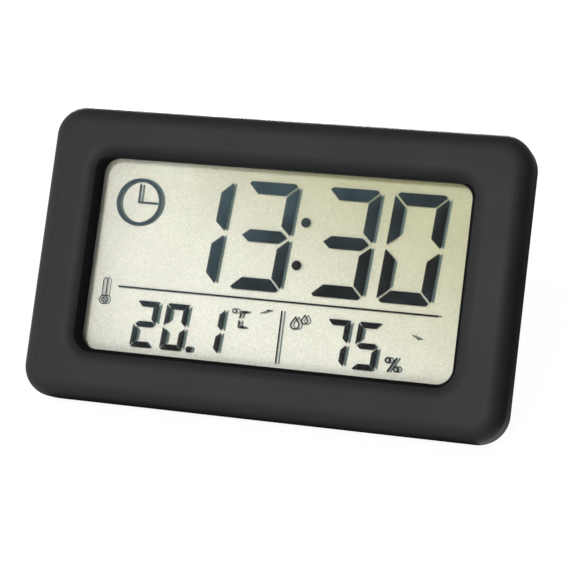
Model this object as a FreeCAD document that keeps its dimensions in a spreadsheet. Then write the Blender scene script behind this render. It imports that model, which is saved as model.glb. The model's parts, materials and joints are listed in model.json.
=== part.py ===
import FreeCAD
import Part
import Sketcher
import math
import os
import re

# A slim room clock with thermometer and hygrometer, drawn as its separate pieces in millimetres.
#
# Each piece is drawn as the clock lies on its back. X runs to the right as the face is read, Y up
# the face from its centre, and Z from the back, where it is 0, to the face. Then the whole clock
# is tilted up: it stands on a narrow land along the lower edge of its back and on the foot of its
# folding leg, and leans back by the lean angle. The origin is on the table, under its middle.

SIZES = {
    # the case as a whole
    "case_width": 100.0,
    "case_height": 60.5,
    "corner_radius": 6.3,
    "face_radius": 4.0,
    "corner_ease": 0.6,
    "side_flat": 0.5,
    "wall_thick": 1.8,
    "lean_angle": 25.0,
    "land_depth": 0.25,
    "lip_thick": 0.6,
    "lip_height": 1.0,
    # clearances
    "fit_gap": 0.1,
    "run_gap": 0.05,
    "part_gap": 0.15,
    # the window opening in the face
    "frame_side": 11.3,
    "frame_end": 10.4,
    "opening_radius": 3.2,
    "opening_rise": 0.2,
    "opening_draft": 2.7,
    "recess_depth": 4.1,
    "roll_radius": 3.5,
    "skirt_thick": 2.0,
    # the display stack
    "tape_thick": 0.2,
    "window_thick": 0.8,
    "window_lap": 1.8,
    "film_thick": 0.2,
    "glass_thick": 0.7,
    "ledge_height": 2.4,
    "holder_wall": 1.2,
    "holder_lap": 3.2,
    "holder_floor": 0.6,
    "strip_thick": 1.8,
    "strip_margin": 5.4,
    # the circuit board
    "board_thick": 1.0,
    "board_gap": 0.3,
    "board_rim": 4.25,
    "contact_room": 0.3,
    "chip_room": 0.2,
    "notch_width": 6.1,
    "notch_height": 7.0,
    "post_pitch": 20.0,
    "post_radius": 2.2,
    "boss_radius": 2.4,
    "well_boss_radius": 2.7,
    # screws
    "screw_head_radius": 1.9,
    "screw_head_height": 1.3,
    "screw_shank_radius": 0.85,
    "case_screw_length": 7.0,
    "board_screw_length": 5.0,
    "well_depth": 2.2,
    "cross_width": 0.5,
    "cross_depth": 0.7,
    # the folding leg
    "leg_clear": 3.8,
    "leg_thick": 2.4,
    "leg_sink": 0.2,
    "leg_angle": 35.0,
    "leg_tip_radius": 4.0,
    "leg_skin": 1.2,
    "leg_rim": 3.0,
    "hinge_inset": 19.5,
    "barrel_radius": 1.3,
    "stub_radius": 1.0,
    "stub_length": 1.3,
    "heel_height": 2.0,
    "recess_wall": 1.8,
    "recess_floor": 1.3,
    "bay_room": 0.4,
    "scoop_radius": 5.0,
    "scoop_depth": 1.8,
    "rib_width": 0.8,
    "rib_pitch": 2.2,
    # the buttons
    "button_radius": 3.0,
    "button_pitch": 9.0,
    "button_inset": 16.0,
    "button_sink": 0.1,
    "button_dish": 0.35,
    "button_travel": 0.5,
    "dish_depth": 1.0,
    "dish_radius": 4.7,
    "flange_lap": 0.7,
    "flange_thick": 0.7,
    "pad_thick": 0.6,
    "pad_lap": 1.0,
    "switch_width": 4.5,
    "switch_height": 1.0,
    "plunger_radius": 0.9,
    # the battery bay
    "cell_radius": 10.0,
    "cell_height": 3.2,
    "cell_step": 0.25,
    "bay_gap": 0.4,
    "bay_wall": 1.2,
    "door_lap": 2.2,
    "door_rim": 6.8,
    "door_sill": 11.8,
    "hook_room": 3.4,
    "door_thick": 1.2,
    "door_radius": 2.5,
    "door_seat": 0.1,
    "hook_place": 8.0,
    "hook_width": 3.0,
    "hook_reach": 1.5,
    "hook_thick": 0.7,
    "hook_stem": 1.2,
    "hook_swing": 3.1,
    "latch_width": 7.0,
    "latch_length": 5.0,
    "slit_width": 0.6,
    "door_scoop_radius": 4.0,
    "contact_thick": 0.15,
    "contact_width": 4.0,
    "contact_foot": 3.0,
    # vents, sensors and the keyhole
    "vent_width": 1.2,
    "vent_height": 7.0,
    "vent_pitch": 2.4,
    "vent_inset": 11.5,
    "keyhole_radius": 3.3,
    "keyslot_radius": 1.6,
    "keyhole_inset": 10.25,
    "keyslot_rise": 3.2,
    "keyhole_room": 1.8,
    "keyhole_wall": 1.0,
    "chip_radius": 4.5,
    "chip_height": 1.1,
    "crystal_radius": 1.0,
    "crystal_length": 6.2,
    "bead_radius": 1.0,
    "bead_length": 1.4,
    "bead_rise": 2.6,
    "lead_radius": 0.25,
    "sensor_width": 8.0,
    "sensor_height": 5.0,
    "sensor_thick": 2.2,
    "chip_part_length": 2.0,
    "chip_part_width": 1.25,
    "chip_part_height": 0.6,
    # how far a cut runs past what it cuts, and how near counts as touching
    "cut_over": 2.0,
    "snap_near": 0.001,
}

doc = FreeCAD.newDocument("room_clock")
sheet = doc.addObject("Spreadsheet::Sheet", "sizes")
for row, (alias, value) in enumerate(SIZES.items(), start=1):
    sheet.set(f"A{row}", alias)
    sheet.set(f"B{row}", str(value))
    sheet.setAlias(f"B{row}", alias)
doc.recompute()

nodes = []


def size(text):
    """The value of a sum of named sizes."""
    return float(sheet.evalExpression(str(text)))


def bound(text):
    """The same sum as another object of the document reads it."""
    return re.sub(r"\b([a-z]+(?:_[a-z]+)+)\b", r"sizes.\1", str(text))


def hold(thing, name, text):
    """Give a property the value of a sum, and keep it bound to the sheet."""
    thing.setExpression(name, bound(text))


# Levels, counted from the back of the case to its face. The cell, the leg's bay and the button
# stack each need their room behind the board, and the display is stacked in front of it.
BACK_RADIUS = "(corner_radius - corner_ease)"
PARTING = f"({BACK_RADIUS} + side_flat)"
CELL_BACK = "(door_thick + door_seat)"
AXIS_LEVEL = "(leg_sink + barrel_radius)"
BAY_DEPTH = "(leg_sink + leg_thick + bay_room)"
BAY_ROOF = f"({BAY_DEPTH} + recess_floor)"
PAD_ROOT = "(wall_thick / 2)"
PAD_ROOF = "(wall_thick + pad_thick)"
BOSS_ROOT = "(wall_thick - pad_thick / 2)"
FLANGE_BACK = f"({PAD_ROOF} + fit_gap)"
FLANGE_FRONT = f"({FLANGE_BACK} + flange_thick)"
HOOK_LEVEL = "(wall_thick + fit_gap)"
CELL_NEED = f"{CELL_BACK} + cell_height + contact_room"
BAY_NEED = f"{BAY_ROOF} + part_gap"
BUTTON_NEED = f"{FLANGE_FRONT} + button_travel + run_gap + switch_height"
BOARD_BACK = f"max({CELL_NEED}; {BAY_NEED}; {BUTTON_NEED})"
BOARD_FRONT = f"({BOARD_BACK} + board_thick)"
REFLECTOR_BACK = f"({BOARD_FRONT} + chip_height + chip_room)"
GLASS_BACK = f"({REFLECTOR_BACK} + film_thick)"
GLASS_MID = f"({GLASS_BACK} + glass_thick)"
FILM_BACK = f"({GLASS_MID} + glass_thick)"
WINDOW_BACK = f"({FILM_BACK} + film_thick)"
TAPE_BACK = f"({WINDOW_BACK} + window_thick)"
LIP = f"({TAPE_BACK} + tape_thick)"
FACE = f"({LIP} + recess_depth)"

# Places on the face. The battery lies at the side of the back, the leg in what is left between.
TONGUE_IN = "(wall_thick + fit_gap + lip_thick)"
BOSS_X = f"(case_width / 2 - {TONGUE_IN} - fit_gap - boss_radius)"
BOSS_Y = "(case_height / 2 - corner_radius)"
POST_X = f"(case_width / 2 - {TONGUE_IN} - fit_gap - post_radius)"
POST_Y = "(post_pitch / 2)"
BOARD_EDGE = f"(case_width / 2 - {TONGUE_IN} - board_gap)"
BOARD_TOP = "(case_height / 2 - board_rim)"
OPENING_WIDTH = "(case_width - 2 * frame_side)"
OPENING_HEIGHT = "(case_height - 2 * frame_end)"
WINDOW_WIDTH = f"({OPENING_WIDTH} + 2 * window_lap)"
WINDOW_HEIGHT = f"({OPENING_HEIGHT} + 2 * window_lap)"
GLASS_WIDTH = f"({WINDOW_WIDTH} - 2 * fit_gap)"
GLASS_TOP = f"(opening_rise + {WINDOW_HEIGHT} / 2 - fit_gap)"
GLASS_FOOT = f"(opening_rise - {WINDOW_HEIGHT} / 2 + fit_gap)"
LEDGE_FOOT = f"({GLASS_FOOT} - ledge_height)"
STRIP_TOP = f"({GLASS_FOOT} - fit_gap)"
STRIP_FOOT = f"({STRIP_TOP} - strip_thick)"
STRIP_LENGTH = f"({GLASS_WIDTH} - 2 * strip_margin)"
DOOR_WIDTH = "(2 * (cell_radius + door_lap))"
DOOR_HEIGHT = "(2 * cell_radius + door_lap + hook_room)"
CELL_X = f"(case_width / 2 - door_rim - {DOOR_WIDTH} / 2)"
CELL_Y = "(door_sill + door_lap + cell_radius - case_height / 2)"
DOOR_TOP = f"({CELL_Y} + cell_radius + hook_room)"
LEG_WIDTH = f"(case_width - 2 * (door_rim + {DOOR_WIDTH} + leg_clear))"
HINGE_Y = "(case_height / 2 - hinge_inset)"
BUTTON_X = "(button_inset - case_width / 2)"
VENT_Y = "(case_height / 2 - vent_inset)"
KEYHOLE_Y = "(case_height / 2 - keyhole_inset)"

SIGNS = (-1, 1)
CORNERS = [(across, up) for across in SIGNS for up in SIGNS]
BUTTON_STEPS = {"down": -1.5, "up": -0.5, "set": 0.5, "mode": 1.5}

# How the clock stands. A land along its lower back edge and the foot of the leg rest on the
# table. The leg turns from its bay about an axis near the back, until its heel meets the bay's
# floor, and its foot is cut so that it is flat on the table there.
LAND = (
    f"(cos(lean_angle) * ({BACK_RADIUS} - case_height / 2) + sin(lean_angle) * {BACK_RADIUS}"
    f" - {BACK_RADIUS} + land_depth)"
)
AXIS_HEIGHT = f"(cos(lean_angle) * {HINGE_Y} + sin(lean_angle) * {AXIS_LEVEL} - {LAND})"
HEEL_FRONT = (
    f"(({BAY_DEPTH} - {AXIS_LEVEL} - run_gap - heel_height * sin(leg_angle)) / cos(leg_angle))"
)


def foot_at(level):
    """Where the leg ends at a level through its thickness, counted from its axis."""
    tilt = "leg_angle - lean_angle"
    return f"(-1 * ({AXIS_HEIGHT} - sin({tilt}) * ({level})) / cos({tilt}))"


LEG_TIP = foot_at("-1 * barrel_radius")


def depth_behind(y, z):
    """How far back a point of the lying clock comes when it leans."""
    return size(f"sin(lean_angle) * ({y}) - cos(lean_angle) * ({z})")


nearest = depth_behind("face_radius - case_height / 2", f"{FACE} - face_radius") - size("face_radius")
top_reach = depth_behind(f"case_height / 2 - {BACK_RADIUS}", BACK_RADIUS) + size(BACK_RADIUS)
foot_reach = depth_behind(HINGE_Y, AXIS_LEVEL) + size(
    f"sin(lean_angle - leg_angle) * {LEG_TIP} + cos(lean_angle - leg_angle) * barrel_radius"
)
STAND_UP = FreeCAD.Placement(
    FreeCAD.Vector(0, -(nearest + max(top_reach, foot_reach)) / 2, -size(LAND)),
    FreeCAD.Rotation(FreeCAD.Vector(1, 0, 0), size("90 - lean_angle")),
)


def shift(x, y, z, turn=0):
    """A place on the lying clock, turned about its own X axis."""
    spot = FreeCAD.Vector(size(x), size(y), size(z))
    return FreeCAD.Placement(spot, FreeCAD.Rotation(FreeCAD.Vector(1, 0, 0), size(turn)))


def keep(thing, name):
    """Make a finished object one of the pieces, stood up with the clock."""
    thing.Label = name
    thing.Placement = STAND_UP.multiply(thing.Placement)
    nodes.append(thing)


def start_body(name):
    """A new empty body."""
    return doc.addObject("PartDesign::Body", name)


def start_sketch(body, level=0, role="XY_Plane"):
    """A sketch on one of the body's own planes, lifted to a level."""
    sketch = body.newObject("Sketcher::SketchObject", f"{body.Name}_outline")
    plane = next(item for item in body.Origin.OriginFeatures if item.Role == role)
    sketch.AttachmentSupport = [(plane, "")]
    sketch.MapMode = "FlatFace"
    hold(sketch, "AttachmentOffset.Base.z", level)
    return sketch


def tie(sketch, kind, where, text):
    """A dimension in a sketch, bound to a sum of named sizes."""
    index = sketch.addConstraint(Sketcher.Constraint(kind, *where, size(text)))
    sketch.setExpression(f"Constraints[{index}]", bound(text))


def join_ends(sketch, pairs):
    """Make the end of each first edge run smoothly into the start of the second."""
    for first, second in pairs:
        sketch.addConstraint(Sketcher.Constraint("Tangent", first, 2, second, 1))


def arc(x, y, radius, start, end):
    """A circular arc between two angles in degrees."""
    circle = Part.Circle(FreeCAD.Vector(x, y, 0), FreeCAD.Vector(0, 0, 1), radius)
    return Part.ArcOfCircle(circle, math.radians(start), math.radians(end))


def line(x0, y0, x1, y1):
    """A straight edge of a sketch."""
    return Part.LineSegment(FreeCAD.Vector(x0, y0, 0), FreeCAD.Vector(x1, y1, 0))


def rounded_rectangle(sketch, width, height, radius, x=0, y=0):
    """A rectangle with round corners about a centre."""
    r = size(radius)
    left = size(f"{x} - ({width}) / 2")
    right = size(f"{x} + ({width}) / 2")
    low = size(f"{y} - ({height}) / 2")
    high = size(f"{y} + ({height}) / 2")
    first = sketch.GeometryCount
    sketch.addGeometry(line(left + r, low, right - r, low))
    sketch.addGeometry(line(right, low + r, right, high - r))
    sketch.addGeometry(line(right - r, high, left + r, high))
    sketch.addGeometry(line(left, high - r, left, low + r))
    sketch.addGeometry(arc(right - r, low + r, r, 270, 360))
    sketch.addGeometry(arc(right - r, high - r, r, 0, 90))
    sketch.addGeometry(arc(left + r, high - r, r, 90, 180))
    sketch.addGeometry(arc(left + r, low + r, r, 180, 270))
    ring = [first, first + 4, first + 1, first + 5, first + 2, first + 6, first + 3, first + 7]
    join_ends(sketch, zip(ring, ring[1:] + ring[:1]))
    for side, direction in enumerate(("Horizontal", "Vertical", "Horizontal", "Vertical")):
        sketch.addConstraint(Sketcher.Constraint(direction, first + side))
    for corner in (5, 6, 7):
        sketch.addConstraint(Sketcher.Constraint("Equal", first + 4, first + corner))
    tie(sketch, "Radius", (first + 4,), radius)
    tie(sketch, "DistanceX", (first + 3, 1, first + 1, 1), width)
    tie(sketch, "DistanceY", (first, 1, first + 2, 1), height)
    tie(sketch, "DistanceX", (-1, 1, first + 3, 1), f"{x} - ({width}) / 2")
    tie(sketch, "DistanceY", (-1, 1, first, 1), f"{y} - ({height}) / 2")


def stadium(sketch, x, low, high, radius):
    """An upright slot with round ends, whose centres are at two heights."""
    r = size(radius)
    middle = size(x)
    foot = size(low)
    head = size(high)
    first = sketch.GeometryCount
    sketch.addGeometry(line(middle + r, foot, middle + r, head))
    sketch.addGeometry(line(middle - r, head, middle - r, foot))
    sketch.addGeometry(arc(middle, head, r, 0, 180))
    sketch.addGeometry(arc(middle, foot, r, 180, 360))
    ring = [first, first + 2, first + 1, first + 3]
    join_ends(sketch, zip(ring, ring[1:] + ring[:1]))
    sketch.addConstraint(Sketcher.Constraint("Vertical", first))
    sketch.addConstraint(Sketcher.Constraint("Vertical", first + 1))
    tie(sketch, "Radius", (first + 2,), radius)
    tie(sketch, "DistanceX", (-1, 1, first + 2, 3), x)
    tie(sketch, "DistanceY", (-1, 1, first + 2, 3), high)
    tie(sketch, "DistanceY", (-1, 1, first + 3, 3), low)


def disc(sketch, x, y, radius):
    """A circle about a point."""
    index = sketch.GeometryCount
    centre = FreeCAD.Vector(size(x), size(y), 0)
    sketch.addGeometry(Part.Circle(centre, FreeCAD.Vector(0, 0, 1), size(radius)))
    tie(sketch, "Radius", (index,), radius)
    tie(sketch, "DistanceX", (-1, 1, index, 3), x)
    tie(sketch, "DistanceY", (-1, 1, index, 3), y)


def polygon(sketch, points):
    """A closed outline of straight edges through points, each given as two sums."""
    spots = [(size(across), size(up)) for across, up in points]
    first = sketch.GeometryCount
    count = len(points)
    for index, (start, end) in enumerate(zip(spots, spots[1:] + spots[:1])):
        sketch.addGeometry(line(*start, *end))
    for index, (across, up) in enumerate(points):
        before = first + (index - 1) % count
        sketch.addConstraint(Sketcher.Constraint("Coincident", before, 2, first + index, 1))
        tie(sketch, "DistanceX", (-1, 1, first + index, 1), across)
        tie(sketch, "DistanceY", (-1, 1, first + index, 1), up)


def box_outline(sketch, left, low, right, high):
    """A plain rectangle between two corners."""
    polygon(sketch, [(left, low), (right, low), (right, high), (left, high)])


def add(body, sketch, length):
    """Raise a sketch into solid material, away from the back."""
    before = body.Shape.Volume if body.Tip else 0
    pad = body.newObject("PartDesign::Pad", f"{body.Name}_raise")
    pad.Profile = sketch
    hold(pad, "Length", length)
    doc.recompute()
    if body.Shape.Volume <= before:
        raise ValueError(f"{pad.Name} adds nothing to {body.Label}")
    return pad


def cut(body, sketch, length, draft=None):
    """Cut a sketch away from its own level towards the face."""
    before = body.Shape.Volume
    pocket = body.newObject("PartDesign::Pocket", f"{body.Name}_cut")
    pocket.Profile = sketch
    pocket.Reversed = True
    hold(pocket, "Length", length)
    if draft:
        hold(pocket, "TaperAngle", draft)
    doc.recompute()
    if body.Shape.Volume >= before:
        raise ValueError(f"{pocket.Name} cuts nothing from {body.Label}")
    return pocket


def picked(base, wanted):
    """Those edges of a form that a test picks by their bounds."""
    edges = enumerate(base.Shape.Edges, start=1)
    return (base, [f"Edge{number}" for number, edge in edges if wanted(edge.BoundBox)])


def round_edges(body, radius, wanted):
    """Round the picked edges of the body's last form."""
    edges = picked(body.Tip, wanted)
    fillet = body.newObject("PartDesign::Fillet", f"{body.Name}_round")
    fillet.Base = edges
    hold(fillet, "Radius", radius)
    doc.recompute()


def bevel_edges(body, radius, wanted):
    """Bevel the picked edges of the body's last form flat, against an arc of a radius."""
    edges = picked(body.Tip, wanted)
    bevel = body.newObject("PartDesign::Chamfer", f"{body.Name}_bevel")
    bevel.Base = edges
    hold(bevel, "Size", f"(2 - sqrt(2)) * ({radius})")
    doc.recompute()


def near(value, text):
    """Whether a measured value lies at a sum of named sizes."""
    return abs(value - size(text)) < size("snap_near")


def lies_at(text):
    """A test for edges that lie flat at one level."""
    return lambda bounds: near(bounds.ZMin, text) and near(bounds.ZMax, text)


def turned(name, profile, x=0, y=0, level=0):
    """A body turned about its own Z axis, from radius and height pairs."""
    body = start_body(name)
    sketch = start_sketch(body, 0, "XZ_Plane")
    polygon(sketch, profile)
    spun = body.newObject("PartDesign::Revolution", f"{body.Name}_spin")
    spun.Profile = sketch
    spun.ReferenceAxis = (sketch, ["V_Axis"])
    spun.Angle = 360
    doc.recompute()
    body.Placement = shift(x, y, level)
    return body


def block(name, width, height, depth, x, y, level):
    """A plain block about a centre, from a level towards the face."""
    piece = doc.addObject("Part::Box", name)
    hold(piece, "Length", width)
    hold(piece, "Width", height)
    hold(piece, "Height", depth)
    piece.Placement = shift(f"{x} - ({width}) / 2", f"{y} - ({height}) / 2", level)
    return piece


def rod(name, radius, length, x, y, level, along=(0, 0, 1)):
    """A round rod from a point along an axis."""
    piece = doc.addObject("Part::Cylinder", name)
    hold(piece, "Radius", radius)
    hold(piece, "Height", length)
    spot = FreeCAD.Vector(size(x), size(y), size(level))
    turn = FreeCAD.Rotation(FreeCAD.Vector(0, 0, 1), FreeCAD.Vector(*along))
    piece.Placement = FreeCAD.Placement(spot, turn)
    return piece


def fused(name, pieces):
    """Several overlapping forms made one solid."""
    whole = doc.addObject("Part::MultiFuse", name)
    whole.Shapes = pieces
    return whole


def less(name, base, tool):
    """One form with another cut out of it."""
    result = doc.addObject("Part::Cut", name)
    result.Base = base
    result.Tool = tool
    return result


def keep_group(name, pieces):
    """Keep separate solids under one name."""
    gathered = doc.addObject("Part::Compound", name)
    gathered.Links = pieces
    keep(gathered, name)


def corner_discs(body, level, x, y, radius):
    """A sketch of four circles, one near each corner of the case."""
    sketch = start_sketch(body, level)
    for across, up in CORNERS:
        disc(sketch, f"{across} * {x}", f"{up} * {y}", radius)
    return sketch


def case_outline(sketch, inset="0"):
    """The outline of the case seen from the front, drawn in by an inset."""
    rounded_rectangle(
        sketch,
        f"case_width - 2 * {inset}",
        f"case_height - 2 * {inset}",
        f"corner_radius - {inset}",
    )


def opening_outline(sketch, outset="0"):
    """The outline of the window opening, drawn out by an outset."""
    rounded_rectangle(
        sketch,
        f"{OPENING_WIDTH} + 2 * {outset}",
        f"{OPENING_HEIGHT} + 2 * {outset}",
        f"opening_radius + {outset}",
        0,
        "opening_rise",
    )


def make_front_case():
    """The front shell: a rounded face, and a rolled opening whose skirt runs back to the window."""
    body = start_body("front_case")
    sketch = start_sketch(body, PARTING)
    case_outline(sketch)
    add(body, sketch, f"{FACE} - {PARTING}")
    round_edges(body, "face_radius", lies_at(FACE))
    sketch = start_sketch(body, PARTING)
    case_outline(sketch, "wall_thick")
    cut(body, sketch, f"{FACE} - {PARTING} - wall_thick")
    bevel_edges(body, "face_radius - wall_thick", lies_at(f"{FACE} - wall_thick"))

    skirt = start_sketch(body, LIP)
    opening_outline(skirt, "skirt_thick")
    add(body, skirt, "recess_depth - wall_thick / 2")
    opening = start_sketch(body, LIP)
    opening_outline(opening)
    cut(body, opening, "recess_depth + cut_over", "opening_draft")
    reach = size(f"{OPENING_WIDTH} / 2 + cut_over")
    flat = lies_at(FACE)
    round_edges(body, "roll_radius", lambda box: flat(box) and max(box.XMax, -box.XMin) < reach)

    posts = corner_discs(body, BOARD_FRONT, POST_X, POST_Y, "post_radius")
    add(body, posts, f"{FACE} - wall_thick / 2 - {BOARD_FRONT}")
    bosses = corner_discs(body, PARTING, BOSS_X, BOSS_Y, "boss_radius")
    add(body, bosses, f"{FACE} - wall_thick / 2 - {PARTING}")
    holes = corner_discs(body, BOARD_FRONT, POST_X, POST_Y, "screw_shank_radius + run_gap")
    cut(body, holes, "board_screw_length - board_thick + part_gap")
    holes = corner_discs(body, PARTING, BOSS_X, BOSS_Y, "screw_shank_radius + run_gap")
    cut(body, holes, f"well_depth + case_screw_length - {PARTING} + part_gap")
    keep(body, "front_case")


def make_back_cover():
    """The rear shell: a dished back with the leg's bay, battery bay, button dish and keyhole."""
    body = start_body("back_cover")
    sketch = start_sketch(body)
    case_outline(sketch)
    add(body, sketch, PARTING)
    round_edges(body, BACK_RADIUS, lies_at(0))
    sketch = start_sketch(body, "wall_thick")
    case_outline(sketch, "wall_thick")
    cut(body, sketch, PARTING)
    bevel_edges(body, f"{BACK_RADIUS} - wall_thick", lies_at("wall_thick"))

    # The tongue that centres this shell in the front one, on a root inside the wall.
    root = start_sketch(body, f"{PARTING} - lip_height")
    case_outline(root, "(wall_thick / 2)")
    case_outline(root, "(wall_thick + fit_gap + lip_thick)")
    add(body, root, "lip_height")
    tongue = start_sketch(body, PARTING)
    case_outline(tongue, "(wall_thick + fit_gap)")
    case_outline(tongue, "(wall_thick + fit_gap + lip_thick)")
    add(body, tongue, "lip_height")

    add_leg_bay(body)
    add_button_dish(body)
    add_battery_bay(body)
    add_keyhole(body)

    vents = start_sketch(body)
    half = "(vent_height / 2 - vent_width / 2)"
    for step in (-2, -1, 0, 1, 2):
        place = f"{CELL_X} + {step} * vent_pitch"
        stadium(vents, place, f"{VENT_Y} - {half}", f"{VENT_Y} + {half}", "vent_width / 2")
    cut(body, vents, "wall_thick + cut_over")

    bosses = corner_discs(body, BOSS_ROOT, BOSS_X, BOSS_Y, "well_boss_radius")
    add(body, bosses, f"{PARTING} - {BOSS_ROOT}")
    wells = corner_discs(body, 0, BOSS_X, BOSS_Y, "screw_head_radius + fit_gap")
    cut(body, wells, "well_depth")
    holes = corner_discs(body, 0, BOSS_X, BOSS_Y, "screw_shank_radius + run_gap")
    cut(body, holes, f"{PARTING} + cut_over")

    # The narrow flat that the clock stands on, which lies on the table when the clock leans.
    land = start_sketch(body, "-1 * case_width / 2 - cut_over", "YZ_Plane")
    inside = f"({LAND} - sin(lean_angle) * {FACE}) / cos(lean_angle)"
    outside = f"({LAND} + sin(lean_angle) * cut_over) / cos(lean_angle)"
    polygon(land, [(outside, "-1 * cut_over"), (inside, FACE), (inside, "-1 * cut_over")])
    cut(body, land, "case_width + 2 * cut_over")
    keep(body, "back_cover")


def add_leg_bay(body):
    """The bay that the folding leg lies in, with a thumb scoop and two sockets for its stubs."""
    wide = f"({LEG_WIDTH} + 4 * part_gap)"
    low = f"({HINGE_Y} + {LEG_TIP} - 2 * part_gap)"
    high = f"({HINGE_Y} + sqrt(heel_height ^ 2 + barrel_radius ^ 2) + 2 * part_gap)"
    long = f"({high} - {low})"
    middle = f"(({high} + {low}) / 2)"
    scoop_y = f"({low} + scoop_radius + leg_rim)"
    shell = start_sketch(body, BOSS_ROOT)
    rounded_rectangle(
        shell, f"{wide} + 2 * recess_wall", f"{long} + 2 * recess_wall", "leg_rim", 0, middle
    )
    add(body, shell, f"{BAY_ROOF} - {BOSS_ROOT}")
    scoop = start_sketch(body, BOSS_ROOT)
    disc(scoop, f"-1 * {wide} / 2", scoop_y, "scoop_radius + recess_wall")
    add(body, scoop, f"scoop_depth + recess_floor - {BOSS_ROOT}")
    bay = start_sketch(body, "-1 * cut_over")
    rounded_rectangle(bay, wide, long, "leg_rim / 2", 0, middle)
    cut(body, bay, f"{BAY_DEPTH} + cut_over")
    scoop = start_sketch(body, "-1 * cut_over")
    disc(scoop, f"-1 * {wide} / 2", scoop_y, "scoop_radius")
    cut(body, scoop, "scoop_depth + cut_over")
    reach = f"({LEG_WIDTH} / 2 + stub_length + part_gap)"
    sockets = start_sketch(body, f"-1 * {reach}", "YZ_Plane")
    disc(sockets, HINGE_Y, AXIS_LEVEL, "stub_radius + run_gap")
    cut(body, sockets, f"2 * {reach}")


def add_button_dish(body):
    """The shallow dish that the four buttons stand in, with a hole for each."""
    low = f"{min(BUTTON_STEPS.values())} * button_pitch"
    high = f"{max(BUTTON_STEPS.values())} * button_pitch"
    place = BUTTON_X
    pad = start_sketch(body, PAD_ROOT)
    stadium(pad, place, low, high, "dish_radius + pad_lap")
    add(body, pad, f"{PAD_ROOF} - {PAD_ROOT}")
    dish = start_sketch(body, "-1 * cut_over")
    stadium(dish, place, low, high, "dish_radius")
    cut(body, dish, "dish_depth + cut_over")
    holes = start_sketch(body)
    for step in BUTTON_STEPS.values():
        disc(holes, place, f"{step} * button_pitch", "button_radius + fit_gap")
    cut(body, holes, f"{PAD_ROOF} + cut_over")


def add_battery_bay(body):
    """The round bay for the coin cell, the seat of its door and the ways for the door's hooks."""
    bay = "(cell_radius + bay_gap)"
    middle = f"({DOOR_TOP} - {DOOR_HEIGHT} / 2)"
    seat_width = f"({DOOR_WIDTH} + 2 * part_gap)"
    seat_height = f"({DOOR_HEIGHT} + 2 * part_gap)"
    pad = start_sketch(body, PAD_ROOT)
    rounded_rectangle(
        pad,
        f"{seat_width} + 2 * pad_lap",
        f"{seat_height} + 2 * pad_lap",
        "door_radius + pad_lap",
        CELL_X,
        middle,
    )
    add(body, pad, f"{PAD_ROOF} - {PAD_ROOT}")
    ring = start_sketch(body, PAD_ROOT)
    disc(ring, CELL_X, CELL_Y, f"{bay} + bay_wall")
    add(body, ring, f"{BOARD_BACK} - bay_gap - {PAD_ROOT}")
    seat = start_sketch(body, "-1 * cut_over")
    rounded_rectangle(seat, seat_width, seat_height, "door_radius + part_gap", CELL_X, middle)
    cut(body, seat, f"{CELL_BACK} + cut_over")
    hole = start_sketch(body)
    disc(hole, CELL_X, CELL_Y, bay)
    cut(body, hole, BOARD_BACK)
    half_way = "(hook_width / 2 + part_gap)"
    ways = start_sketch(body)
    roofs = start_sketch(body, "wall_thick")
    for side in SIGNS:
        left = f"{CELL_X} + {side} * hook_place - {half_way}"
        right = f"{CELL_X} + {side} * hook_place + {half_way}"
        box_outline(ways, left, f"{DOOR_TOP} - hook_swing", right, f"{DOOR_TOP} + part_gap")
        box_outline(roofs, left, DOOR_TOP, right, f"{DOOR_TOP} + hook_reach + bay_gap")
    cut(body, ways, BOARD_BACK)
    cut(body, roofs, BOARD_BACK)
    scoop = start_sketch(body, "-1 * cut_over")
    disc(scoop, CELL_X, f"{DOOR_TOP} - {DOOR_HEIGHT}", "door_scoop_radius")
    cut(body, scoop, "dish_depth + cut_over")
    gate = start_sketch(body, PAD_ROOF)
    half_gate = "(contact_width / 2 + bay_gap)"
    box_outline(
        gate,
        f"{CELL_X} - {bay} - bay_wall - cut_over",
        f"{CELL_Y} - {half_gate}",
        f"{CELL_X} - cell_radius / 2",
        f"{CELL_Y} + {half_gate}",
    )
    cut(body, gate, BOARD_BACK)


def add_keyhole(body):
    """A keyhole for a wall screw, with a closed box behind it for the screw's head."""
    top = f"({KEYHOLE_Y} + keyslot_rise)"
    room = "(keyhole_radius + 2 * part_gap)"
    through = "wall_thick + keyhole_room + cut_over"
    cover = start_sketch(body, BOSS_ROOT)
    stadium(cover, 0, KEYHOLE_Y, top, f"{room} + keyhole_wall")
    add(body, cover, f"wall_thick + keyhole_room + keyhole_wall - {BOSS_ROOT}")
    hole = start_sketch(body, "-1 * cut_over")
    disc(hole, 0, KEYHOLE_Y, "keyhole_radius")
    cut(body, hole, through)
    slot = start_sketch(body, "-1 * cut_over")
    stadium(slot, 0, KEYHOLE_Y, top, "keyslot_radius")
    cut(body, slot, through)
    hollow = start_sketch(body, "wall_thick")
    stadium(hollow, 0, KEYHOLE_Y, top, room)
    cut(body, hollow, "keyhole_room")


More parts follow.
